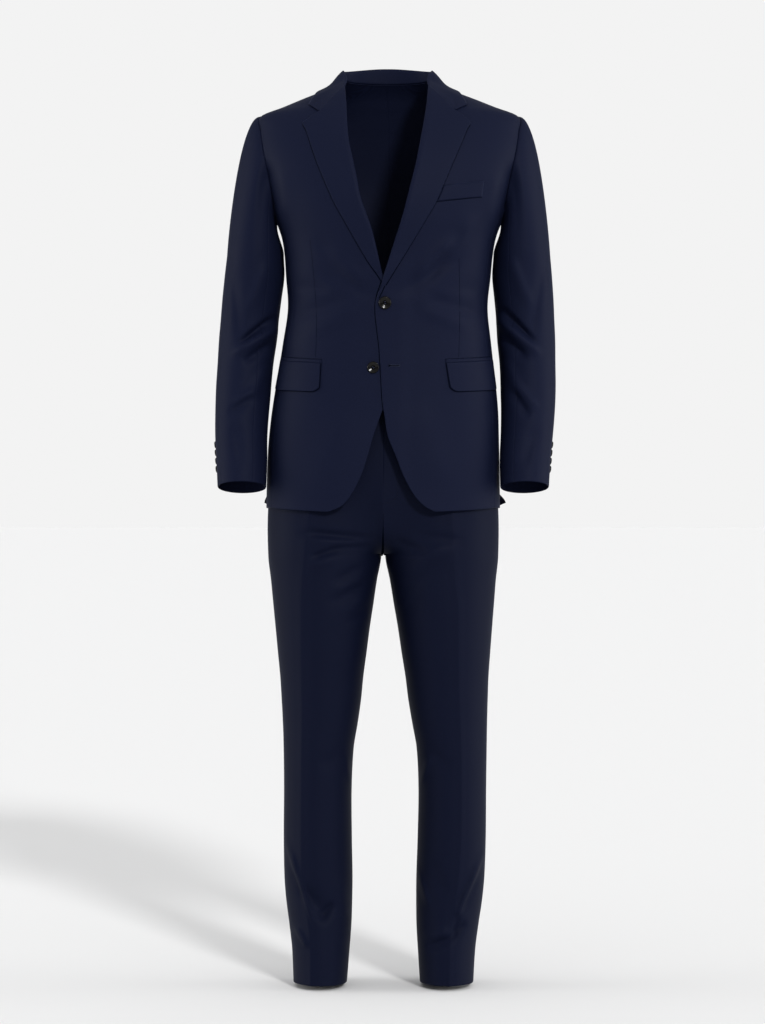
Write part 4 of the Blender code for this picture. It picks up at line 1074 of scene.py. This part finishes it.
collar_points = np.concatenate([collar_half("right")[:0:-1], collar_half("left")])
normals = unit(np.cross(np.gradient(collar_points, axis=1), np.gradient(collar_points, axis=0)))
fall_part = np.s_[:, -COLLAR_FALL_STEPS // 2 :]  # only the fall faces out; the stand faces the neck
facing = (normals[fall_part] * outward_of(collar_points)[fall_part]).sum()
collar = shell(
    "collar_cloth", collar_points, normals * np.sign(facing), navy, "collar", "navy_wool_turned", edges="lrt",
)
cut(collar)


# %% [markdown]
# ## Pockets
#
# A hip pocket is a jet, a folded strip sewn along the mouth, with a flap that hangs from under it. The
# breast pocket is a single welt set on a slant, sewn down at its end. They could be cut out of the front,
# with real mouths; since all are closed, each lies on the front's own surface, moved out, and the flap
# bows off it a little towards its free edge.

# %% Jets, flaps and breast welt
# (angle, upper level, lower level) of a flap's front end and of its rear end
FLAP_FRONT = {"left": (31.5, -478.4, -526.0), "right": (35.1, -478.4, -526.0)}
FLAP_REAR = (76.0, -469.4, -519.5)
FLAP_SLANT = {"left": 1.6, "right": -0.9}
FLAP_THICK = 1.6
FLAP_BOW = 0.9
FLAP_WAVE = 0.35  # the free edge waves this much in and out
JET_HEIGHT = 6.0
JET_ROUND = 1.5
WELT_LOWER = (-212.0, -201.5, 154.0)  # level at the lapel, level and x at the outer end
WELT_UPPER = (-184.5, -174.5, 157.5)
WELT_ROUND = 1.7


def net(rows, columns):
    """Even shares down a strip as a column, and along it as a row."""
    return np.linspace(0, 1, rows)[:, None], np.linspace(0, 1, columns)[None, :]


def mound(rows, columns, width=0.12):
    """1 inside a grid and falling to 0 round its border, for a strip with rolled edges."""
    r, c = net(rows, columns)
    inside = np.minimum(np.minimum(r, 1 - r) / width, np.minimum(c, 1 - c) / (width * rows / columns * 2))
    return np.sqrt(np.clip(1 - (1 - np.clip(inside, 0, 1)) ** 2, 0, 1))


def corner_round(share, height, reach):
    """How much a flap's lower edge rises towards its corner."""
    return height * np.maximum(0.0, 1 - share / reach) ** 2


def flap_grid(side):
    down = stations(0, 1, 26, 0.02)[:, None]
    share = stations(0, 1, 60, 0.008)[None, :]
    rounding = corner_round(share, 7.0, 0.1) * down**2
    rounding = rounding + corner_round(1 - share, 3.0, 0.06) * down**2
    front = FLAP_FRONT[side]
    top = lerp(front[1], FLAP_REAR[1], share)
    bottom = lerp(front[2], FLAP_REAR[2], share) + rounding
    angle = lerp(front[0], FLAP_REAR[0], share) + FLAP_SLANT[side] * down * (1 - share)
    bow = FLAP_BOW * down**1.5 + FLAP_WAVE * np.sin(3.1 * pi * share + 0.8) * down**2
    return body(side, angle, lerp(top, bottom, down), 2.4 + bow)


def jet_grid(side, rows=12, columns=70):
    down, share = net(rows, columns)
    angle = lerp(FLAP_FRONT[side][0] - 0.6, FLAP_REAR[0] + 0.6, share) + 0 * down
    low, high = (
        lerp(FLAP_FRONT[side][1] + rise, FLAP_REAR[1] + rise, share) for rise in (0.2, JET_HEIGHT)
    )
    return body(side, angle, lerp(low, high, down), 0.2 + JET_ROUND * mound(rows, columns))


def welt_grid(rows=22, columns=56):
    down, share = net(rows, columns)
    inner_z, outer_z, outer_x = (lerp(low, high, down) for low, high in zip(WELT_LOWER, WELT_UPPER))
    x = lerp(LAPEL_EDGE.at(inner_z, "left") + 1.0, outer_x, share)
    z = lerp(inner_z, outer_z, share)
    return on_front("left", x, z, 0.25 + WELT_ROUND * mound(rows, columns, 0.08))


for side in SIDES:
    front = jacket["front", side]
    flap = turned_cloth(f"flap_cloth_{side}", flap_grid(side), f"flap_{side}", thick=FLAP_THICK)
    cut(flap)
    jet = turned_cloth(f"jet_strip_{side}", jet_grid(side), f"jet_{side}", slot="navy_wool", edges="")
    cut(jet)
welt = turned_cloth("breast_welt_cloth", welt_grid(), "breast_welt", edges="")
cut(welt)


# %% [markdown]
# ## Trousers
#
# Each leg is a front and a back, joined at the inseam and outseam, with a crease pressed down the
# middle of both. The crease runs from the hem to the hip at the back and into the waist in front. The
# fronts are flat, with no pleats. The band is hidden by the jacket, and so is most of the fly.

# %% Legs, band and fly
LEG_ROWS = ((-558.3, -690, 34), (-690, -799, 44), (-799, TROUSER_HEM, 176))  # most rows near the fork
CREASE_TURNS = [-14, -9, -5, -2.5, -1.2, -0.5, 0, 0.5, 1.2, 2.5, 5, 9, 14]
SEAM_TURNS = [-89.5, -88.6, 89.5, 88.6]
TURNS = np.unique(np.concatenate([np.linspace(-90, 90, 55), CREASE_TURNS, SEAM_TURNS]))
BAND_THICK = 2.4
BAND_OUT = 0.7
FLY_ACROSS = [("right", -62.0), ("right", -90.0), ("left", -76.0)]
FLY_DEPTH = -3.2  # the underlap lies behind the fronts

upper_levels = [np.linspace(*rows)[:-1] for rows in LEG_ROWS]
levels = np.concatenate([*upper_levels, TROUSER_HEM + HEM_ROWS, [TROUSER_HEM]])[:, None]
for side in SIDES:
    for part, turns in (("front", TURNS), ("back", 180 - TURNS[::-1])):
        grid = trouser(side, *np.broadcast_arrays(turns[None, :], levels))
        outward = out_of_tube(grid, sign_of(side) * LEG_MIDDLE[0], LEG_MIDDLE[1])
        leg = shell(f"leg_{part}_{side}", grid, outward, navy_trousers_shaded, f"trouser_{part}_{side}")
        cut(leg)
    angle = stations(0, 180, 60, 1.0)[None, :]
    z = stations(BAND_BOTTOM, BAND_TOP, 12, 1.0)[:, None]
    grid = hips(side, *np.broadcast_arrays(angle, z), BAND_OUT)
    band = shell(
        f"band_{side}", grid, outward_of(grid), navy_trousers_shaded, f"waistband_{side}", thick=BAND_THICK,
    )
    cut(band)

fly_z = np.linspace(-562, -712, 30)
grid = smooth_line([trouser(side, turn, fly_z, FLY_DEPTH) for side, turn in FLY_ACROSS], 12)
fly = shell("fly_underlap", grid, outward_of(grid), navy_inside, "fly", "navy_wool_turned", edges="")
cut(fly)


# %% [markdown]
# ## Seam lines, painted shadows, stitches and buttonholes
#
# Darts show only as a fine line where the cloth turns in, so each is a thin dark bead of painted shade
# sunk into the front. An edge that lies on other cloth has a narrow shadow under it, and so does the fork,
# where the seam runs in between the legs; in this soft light they would be lost, so each is painted as a
# thin dark bead too. Buttonholes are worked in silk: close stitches side by side round a slit, with a round
# eye; slit and eye are beads of painted shadow. The fly is caught by a row of stitches that turns in at its
# foot in a J.

# %% Lines laid on a surface
def tube(name, lines, radius, material, slot, sides=3, widths=None):
    """Several thin round lines as one piece; lines are arrays of points in millimetres."""
    curve = bpy.data.curves.new(name, "CURVE")
    curve.dimensions = "3D"
    curve.bevel_depth = radius * MM
    curve.bevel_resolution = sides - 2
    curve.use_fill_caps = True
    for count, points in enumerate(lines):
        spline = curve.splines.new("POLY")
        spline.points.add(len(points) - 1)
        flat = np.concatenate([np.asarray(points) * MM, np.ones((len(points), 1))], axis=1)
        spline.points.foreach_set("co", flat.reshape(-1))
        if widths is not None:
            spline.points.foreach_set("radius", widths[count])
    curve.materials.append(material)
    print(f"{name}: {len(lines)} lines, {radius} mm")
    return add_piece(name, curve)


# A thin near-black bead of painted shadow, laid where shade falls
def shadow(name, lines, radius, slot="navy_wool", **settings):
    return tube(name, lines, radius, painted_shadow, slot, **settings)


DARTS = {
    "left": [(117, -303), (120, -390), (120, -468)],
    "right": [(131, -273), (119, -390), (118.5, -468)],
}
# Each dart is drawn as painted shade: a near-black bead sunk just under the front along its line
dart_shade_lines = []
for side, points in DARTS.items():
    line = smooth_line(points, 60)
    dart_shade_lines.append(on_front(side, line[:, 0], line[:, 1], -0.12))
shadow("front_dart_shade", dart_shade_lines, 0.35)

# %% The narrow painted shadow under each edge that lies on other cloth
EDGE_GAP = 0.7  # a shadow's middle lies this far past its edge
EDGE_OUT = 0.5  # and this far out of the cloth
# the left lapel's tail below its break, where its painted shadow runs on down towards the button
LEFT_TAIL = [(-5.6, -351.5), (-9.6, -360.8), (-12.0, -366.0), (-15.0, -372.0)]

lap_z = np.linspace(-342, -562, 110)
lap_x = EDGE_GAP + 1.7 * smoothstep(-375, -356, lap_z) - FRONT_EDGE.at(lap_z, "left")
shadow("front_edge_shadow", [on_front("right", lap_x, lap_z, EDGE_OUT)], 0.65)

lapel_shadows = []
for side in SIDES:
    x, z = lapel_line(side, np.linspace(0.03, 0.985, 120), 1.0)
    lapel_shadows.append(on_front(side, x + EDGE_GAP, z, EDGE_OUT))
tail = smooth_line(LEFT_TAIL, 30)
lapel_shadows.append(on_front("left", tail[:, 0], tail[:, 1], 0.25))
tail_z = np.linspace(-327.0, -347.0, 24)
lapel_shadows.append(on_front("right", LAPEL_EDGE.at(tail_z, "right") + EDGE_GAP, tail_z, 0.35))
shadow("lapel_edge_shadows", lapel_shadows, 0.7)

pocket_shadows = []
share = np.linspace(0, 1, 60)
down = np.linspace(0, 0.84, 20)
for side in SIDES:
    front = FLAP_FRONT[side]
    angle = lerp(front[0] + FLAP_SLANT[side] - 0.3, FLAP_REAR[0], share)
    level = lerp(front[2], FLAP_REAR[2], share) + corner_round(share, 7.0, 0.1) - 0.6
    fore = body(side, front[0] + FLAP_SLANT[side] * down - 0.35, lerp(front[1], front[2], down), EDGE_OUT)
    pocket_shadows.append(np.concatenate([fore, body(side, angle, level, EDGE_OUT)[1:]]))
    upper = lerp(front[1], FLAP_REAR[1], share) + JET_HEIGHT + 0.4
    pocket_shadows.append(body(side, lerp(front[0] - 0.5, FLAP_REAR[0], share), upper, 0.1))
share = np.linspace(0, 1, 40)
welt_x = lerp(LAPEL_EDGE.at(WELT_LOWER[0], "left") + 1.0, WELT_LOWER[2], share)
pocket_shadows.append(on_front("left", welt_x, lerp(WELT_LOWER[0], WELT_LOWER[1], share) - 0.5, 0.2))
shadow("pocket_edge_shadows", pocket_shadows, 0.42)

# painted shadow in the fork: a near-black bead down the seam, widening downwards, and two short corner beads
# narrowing outwards
FORK_SHADE_TOP = -728
fork_z = lerp(FORK_SHADE_TOP, FORK_Z + 0.4, share)
fork_shade_width = 0.2 + 3.2 * share**2
fork_lines = [trouser("right", -90, fork_z, -0.4 * fork_shade_width)]
corner_shade_width = 0.15 + 2.4 * (1 - share) ** 1.5
for side in SIDES:
    fork_lines.append(trouser(side, lerp(-89.5, -77, share), FORK_Z + 1.2, -0.3 * corner_shade_width))
shadow("fork_shadow", fork_lines, 1.0, widths=[fork_shade_width, corner_shade_width, corner_shade_width])

# %% Buttonholes and the fly's stitches
LOWER_HOLE = (4.0, 22.5, -483.5)  # x from, x to, level
TOP_HOLE = (-12.0, 4.0, -379.6)
SILK_PITCH = 0.75
STITCH = 2.4
STITCH_PITCH = STITCH * 1.25
FLY_STITCH_TURN = -71.0
FLY_J_TOP = -694.0
FLY_J_DROP = 17.0


def buttonhole(side, start, end, z, out):
    """Points round a keyhole slit: a loop of close stitches, in millimetres on the front."""
    length = end - start
    t = np.linspace(0, 1, 60)
    half = 0.75 + 0.9 * np.exp(-(((t - 0.06) / 0.07) ** 2))
    upper = on_front(side, start + length * t, z + half, out)
    lower = on_front(side, start + length * t[::-1], z - half[::-1], out)
    return np.concatenate([upper, lower, upper[:1]])


def stitches_across(side, start, end, z, out):
    """Short silk stitches at right angles to a slit, on both its lips."""
    return [
        on_front(side, np.array([x, x]), z + np.array(lip), out)
        for x in np.arange(start, end, SILK_PITCH) for lip in ((0.25, 1.7), (-1.7, -0.25))
    ]


hole_start, hole_end, hole_z = LOWER_HOLE
hole_lines = [buttonhole("left", *LOWER_HOLE, 0.35), buttonhole("left", *TOP_HOLE, 0.35)]
tube("buttonhole_edges", hole_lines, 0.42, thread, "navy_wool_turned")
works = stitches_across("left", hole_start + 2.0, hole_end, hole_z, 0.3)
tube("buttonhole_stitches", works, 0.3, thread, "navy_wool_turned")
# The slit and the keyhole's eye are painted shadow: near-black beads where the opening would look dark
slit_x = np.linspace(hole_start + 1.0, hole_end - 1.0, 20)
shadow("buttonhole_slit_shadow", [on_front("left", slit_x, np.full(20, hole_z), 0.7)], 0.7, "navy_wool_turned")
eye = on_front("left", np.array([3.8, 5.0, 6.2]), np.full(3, hole_z), 0.5)
shadow("buttonhole_eye_shadow", [eye], 1.5, "navy_wool_turned", sides=7)

# the fly's row of stitches, straight and then a J
straight_z = np.arange(-600.0, FLY_J_TOP, -1.0)
bend = np.linspace(0, pi / 2, 26)
fly_turns = np.append(FLY_STITCH_TURN + 0 * straight_z, lerp(FLY_STITCH_TURN, -89.0, 1 - np.cos(bend)))
fly_levels = np.append(straight_z, FLY_J_TOP - FLY_J_DROP * np.sin(bend))
fly_path = trouser("left", fly_turns, fly_levels, 0.05)
walked = np.concatenate([[0], np.cumsum(np.linalg.norm(np.diff(fly_path, axis=0), axis=1))])
fly_stitches = []
for start in np.arange(0, walked[-1] - STITCH, STITCH_PITCH):
    at = np.linspace(start, start + STITCH, 4)
    fly_stitches.append(np.stack([np.interp(at, walked, fly_path[:, k]) for k in range(3)], axis=1))
tube("fly_stitches", fly_stitches, 0.22, fly_thread, "navy_wool_turned")


# %% [markdown]
# ## Buttons
#
# Horn buttons are turned on a lathe: a flat disc with a raised, rounded rim, a cone dished down from it,
# and a flat middle with four holes, each drawn as a flat disc of painted shadow. Thread crosses them in two
# bars. The cone is what catches a light and glints, so the profile is drawn exactly and spun round, and not
# modelled from a cylinder. Two buttons close the front, and four smaller ones sit close together above each
# cuff's hem.

# %% Turned buttons
BUTTON_THICK = 3.2
BUTTON_SIDES = 56
PROFILE_POINTS = 46
MATT_INSIDE = 0.4  # shares of a button's radius, as are the next four
HOLE_OUT = 0.22
HOLE_RADIUS = 0.1
THREAD_RADIUS = 0.05
FACE_DROP = 0.126


def button_profile(radius, thick):
    """Radius and height round a button's half section, from the middle of its back to that of its face."""
    r = radius
    return smooth_line([
        (0.01, 0.0), (r * 0.55, 0.0), (r * 0.86, 0.1), (r * 0.98, thick * 0.26), (r, thick * 0.48),
        (r * 0.955, thick * 0.8), (r * 0.9, thick * 0.97), (r * 0.85, thick), (r * 0.8, thick - 0.14),
        (r * 0.61, thick - 0.14 - r * 0.058), (r * 0.42, thick - 0.14 - r * 0.116),
        (r * 0.34, thick - 0.2 - r * 0.124), (0.01, thick - 0.2 - r * 0.128),
    ], PROFILE_POINTS)


def add_part(data, made, where, index):
    """Moves a new part of a button into place and gives its faces their material."""
    bmesh.ops.translate(data, vec=Vector(where) * MM, verts=made["verts"])
    for vert in made["verts"]:
        for near in vert.link_faces:
            near.material_index = index


def make_button(name, seat, normal, radius, node, spin=0.0):
    """A turned button with four holes drawn as discs of painted shadow, and two bars of thread, lying on its
    cloth.
    """
    data = bmesh.new()
    rings = []
    profile = button_profile(radius, BUTTON_THICK)
    turns = np.linspace(0, 2 * pi, BUTTON_SIDES, endpoint=False)
    for r, h in profile:
        rings.append([data.verts.new((r * np.cos(a) * MM, r * np.sin(a) * MM, h * MM)) for a in turns])
    for i, (low, high) in enumerate(zip(rings, rings[1:])):
        dished = i > len(rings) // 2 and profile[i][0] < radius * MATT_INSIDE
        for k in range(BUTTON_SIDES):
            n = (k + 1) % BUTTON_SIDES
            data.faces.new((low[k], low[n], high[n], high[k])).material_index = 3 if dished else 0
    data.faces.new(rings[0][::-1])
    data.faces.new(rings[-1]).material_index = 3
    face = BUTTON_THICK - 0.2 - radius * FACE_DROP
    pitch = radius * HOLE_OUT
    # four flat near-black discs of painted shadow stand for the holes
    for a in (pi / 4, 3 * pi / 4, 5 * pi / 4, 7 * pi / 4):
        hole = bmesh.ops.create_circle(data, cap_ends=True, radius=radius * HOLE_RADIUS * MM, segments=14)
        add_part(data, hole, (pitch * np.cos(a), pitch * np.sin(a), face + 0.05), 1)
    lying = Vector((0, 0, 1)).rotation_difference(Vector((1, 0, 0))).to_matrix()
    for y in (-pitch * 0.7071, pitch * 0.7071):
        width = radius * THREAD_RADIUS * MM
        bar = bmesh.ops.create_cone(
            data, cap_ends=True, segments=10, radius1=width, radius2=width, depth=pitch * 1.42 * MM,
        )
        bmesh.ops.rotate(data, cent=(0, 0, 0), verts=bar["verts"], matrix=lying)
        add_part(data, bar, (0, y, face + 0.22), 2)
    turn = Vector((0, 0, 1)).rotation_difference(Vector(normal)).to_matrix()
    spun = turn @ Vector((1, 0, 0)).rotation_difference(Vector((np.cos(spin), np.sin(spin), 0))).to_matrix()
    bmesh.ops.rotate(data, cent=(0, 0, 0), matrix=spun, verts=data.verts)
    bmesh.ops.translate(data, vec=Vector(seat) * MM, verts=data.verts)
    mesh = bpy.data.meshes.new(name)
    data.to_mesh(mesh)
    data.free()
    mesh.shade_smooth()
    for material in (horn_dark, hole_shadow, thread, horn_matt):
        mesh.materials.append(material)
    return add_piece(name, mesh, [node])


def one(surface, *arguments):
    """A single point of a surface."""
    return np.asarray(surface(*arguments), float).reshape(-1, 3)[0]


# name, side it lies on, x, level, radius, spin, and how far sideways it hangs off square on its shank
FRONT_BUTTONS = [
    ("button_top", "left", -5.0, -379.4, 10.6, 0.35, 0.09),
    ("button_lower", "right", -22.0, -486.4, 9.8, 0.9, -0.02),
]
HANG_DOWN = -0.02
BUTTON_OUT = 0.6
for name, side, x, z, radius, spin, sideways in FRONT_BUTTONS:
    own_x = x * sign_of(side)
    seat = one(on_front, side, own_x, z, BUTTON_OUT)
    normal = unit(one(on_front, side, own_x, z, 2.0) - one(on_front, side, own_x, z, 0.0))
    hang = unit(normal + np.array([sideways, 0.0, HANG_DOWN]))
    make_button(f"horn_{name}", seat, hang, radius, name, spin)

CUFF_TURN = -20.0
CUFF_FIRST = 34.0  # above the hem
CUFF_PITCH = 13.8
CUFF_RADIUS = 6.6
CUFF_COUNT = 4
for side in SIDES:
    for i in range(CUFF_COUNT):
        z = SLEEVE_HEM_Z + CUFF_FIRST + i * CUFF_PITCH
        here = one(sleeve_ring, side, CUFF_TURN, z)
        over = one(sleeve_ring, side, CUFF_TURN + 5, z) - here
        up = one(sleeve_ring, side, CUFF_TURN, z + 5) - here
        normal = unit(np.cross(over, up))
        if normal[0] * sign_of(side) < 0:
            normal = -normal
        node = f"cuff_button_{side}_{i + 1}"
        make_button(f"horn_{node}", here + normal * BUTTON_OUT, normal, CUFF_RADIUS, node, 0.3 * i)
print("buttons", len(FRONT_BUTTONS) + CUFF_COUNT * len(SIDES))


# %% [markdown]
# ## Studio
#
# The suit stands on a pale seamless floor. Light comes from all round and most from overhead, and two
# round soft boxes at the left and the right, out of sight, draw a line of light along edges and folds.
# One large lamp, low in front and a little to the suit's left, lays a soft shadow back to the other side.
# The camera is level with the middle of the suit, five metres away, with a long lens that keeps it
# straight.

# %% Floor, light and camera
FLOOR_Z = -1529.5
FLOOR_REACH = 150.0  # metres, so that its edge is never seen
BACKDROP = 0.896  # linear light of the seamless paper
ROOM = 0.93
ROOM_LOW = (0.17, 0.172, 0.18, 1)  # the room's light from below; white from overhead
SIDE_BOXES = 8.0  # strength of the two soft boxes
BOX_EDGE = (0.88, 0.985)  # how far sideways a ray points at their soft edge
KEY_AZIMUTH, KEY_ELEVATION, KEY_SOFTNESS = 20.0, 26.0, 8.0  # degrees; 0 shines from the front
KEY_STRENGTH = 1.8
CAMERA_AT = (-0.00895, -5.0, -0.7259)


def link_object(name, data):
    """A thing of the studio: floor, lamp or camera."""
    thing = bpy.data.objects.new(name, data)
    bpy.context.scene.collection.objects.link(thing)
    return thing


def studio_floor():
    mesh = bpy.data.meshes.new("floor")
    corners = [(x * FLOOR_REACH, y * FLOOR_REACH, 0) for x, y in ((-1, -1), (1, -1), (1, 1), (-1, 1))]
    mesh.from_pydata(corners, [], [(0, 1, 2, 3)])
    # matt paper: the shadow shows on it, and no reflection
    mesh.materials.append(new_material("white studio floor, matt", "#EAEAEA", 1.0, Specular_IOR_Level=0.0)[0])
    floor = link_object("floor", mesh)
    floor.location.z = FLOOR_Z * MM
    return floor


def soft_key():
    """A wide, even light from a direction."""
    lamp = bpy.data.lights.new("large_soft_key", "SUN")
    lamp.energy = KEY_STRENGTH
    lamp.angle = radians(KEY_SOFTNESS)
    a = radians(KEY_AZIMUTH)
    e = radians(KEY_ELEVATION)
    from_where = Vector((np.sin(a) * np.cos(e), -np.cos(a) * np.cos(e), np.sin(e)))
    link_object("large_soft_key", lamp).rotation_euler = from_where.to_track_quat("Z", "Y").to_euler()


def studio_world():
    """White paper for the camera; for the cloth, a room brightest overhead, with a soft box each side."""
    world = bpy.data.worlds.new("white studio")
    world.use_nodes = True
    tree = world.node_tree
    tree.nodes.clear()
    paper = add_node(tree, "ShaderNodeBackground", Color=(BACKDROP, BACKDROP, BACKDROP, 1), Strength=1.0)
    where = add_node(tree, "ShaderNodeTexCoord")
    height = add_node(tree, "ShaderNodeSeparateXYZ", {"Vector": where.outputs["Generated"]})
    ramp = add_node(tree, "ShaderNodeValToRGB", {"Fac": height.outputs["Z"]})
    ramp.color_ramp.elements[0].color = ROOM_LOW
    ramp.color_ramp.elements[1].color = (1.0, 1.0, 1.0, 1)
    room = add_node(tree, "ShaderNodeBackground", {"Color": ramp.outputs["Color"]}, Strength=ROOM)
    sideways = add_node(tree, "ShaderNodeMath", {0: height.outputs["X"]}, operation="ABSOLUTE")
    wing = add_node(
        tree, "ShaderNodeMapRange", {"Value": sideways.outputs["Value"]}, interpolation_type="SMOOTHSTEP",
        From_Min=BOX_EDGE[0], From_Max=BOX_EDGE[1], To_Min=0.0, To_Max=SIDE_BOXES,
    )
    boxes = add_node(tree, "ShaderNodeBackground", {"Strength": wing.outputs["Result"]}, Color=(1, 1, 1, 1))
    light = add_node(tree, "ShaderNodeAddShader", {0: room.outputs[0], 1: boxes.outputs[0]})
    seen = add_node(tree, "ShaderNodeLightPath")
    mix = add_node(
        tree, "ShaderNodeMixShader",
        {"Fac": seen.outputs["Is Camera Ray"], 1: light.outputs[0], 2: paper.outputs[0]},
    )
    add_node(tree, "ShaderNodeOutputWorld", {"Surface": mix.outputs[0]})
    return world


studio_floor()
soft_key()
bpy.context.scene.world = studio_world()
bpy.context.scene.view_settings.view_transform = "Standard"

lens = bpy.data.cameras.new("camera")
lens.lens = 103.4
lens.sensor_width = 36.0
camera = link_object("camera", lens)
camera.location = CAMERA_AT
camera.rotation_euler = (pi / 2, 0, 0)
bpy.context.scene.camera = camera
print("camera", CAMERA_AT, "lens", lens.lens)
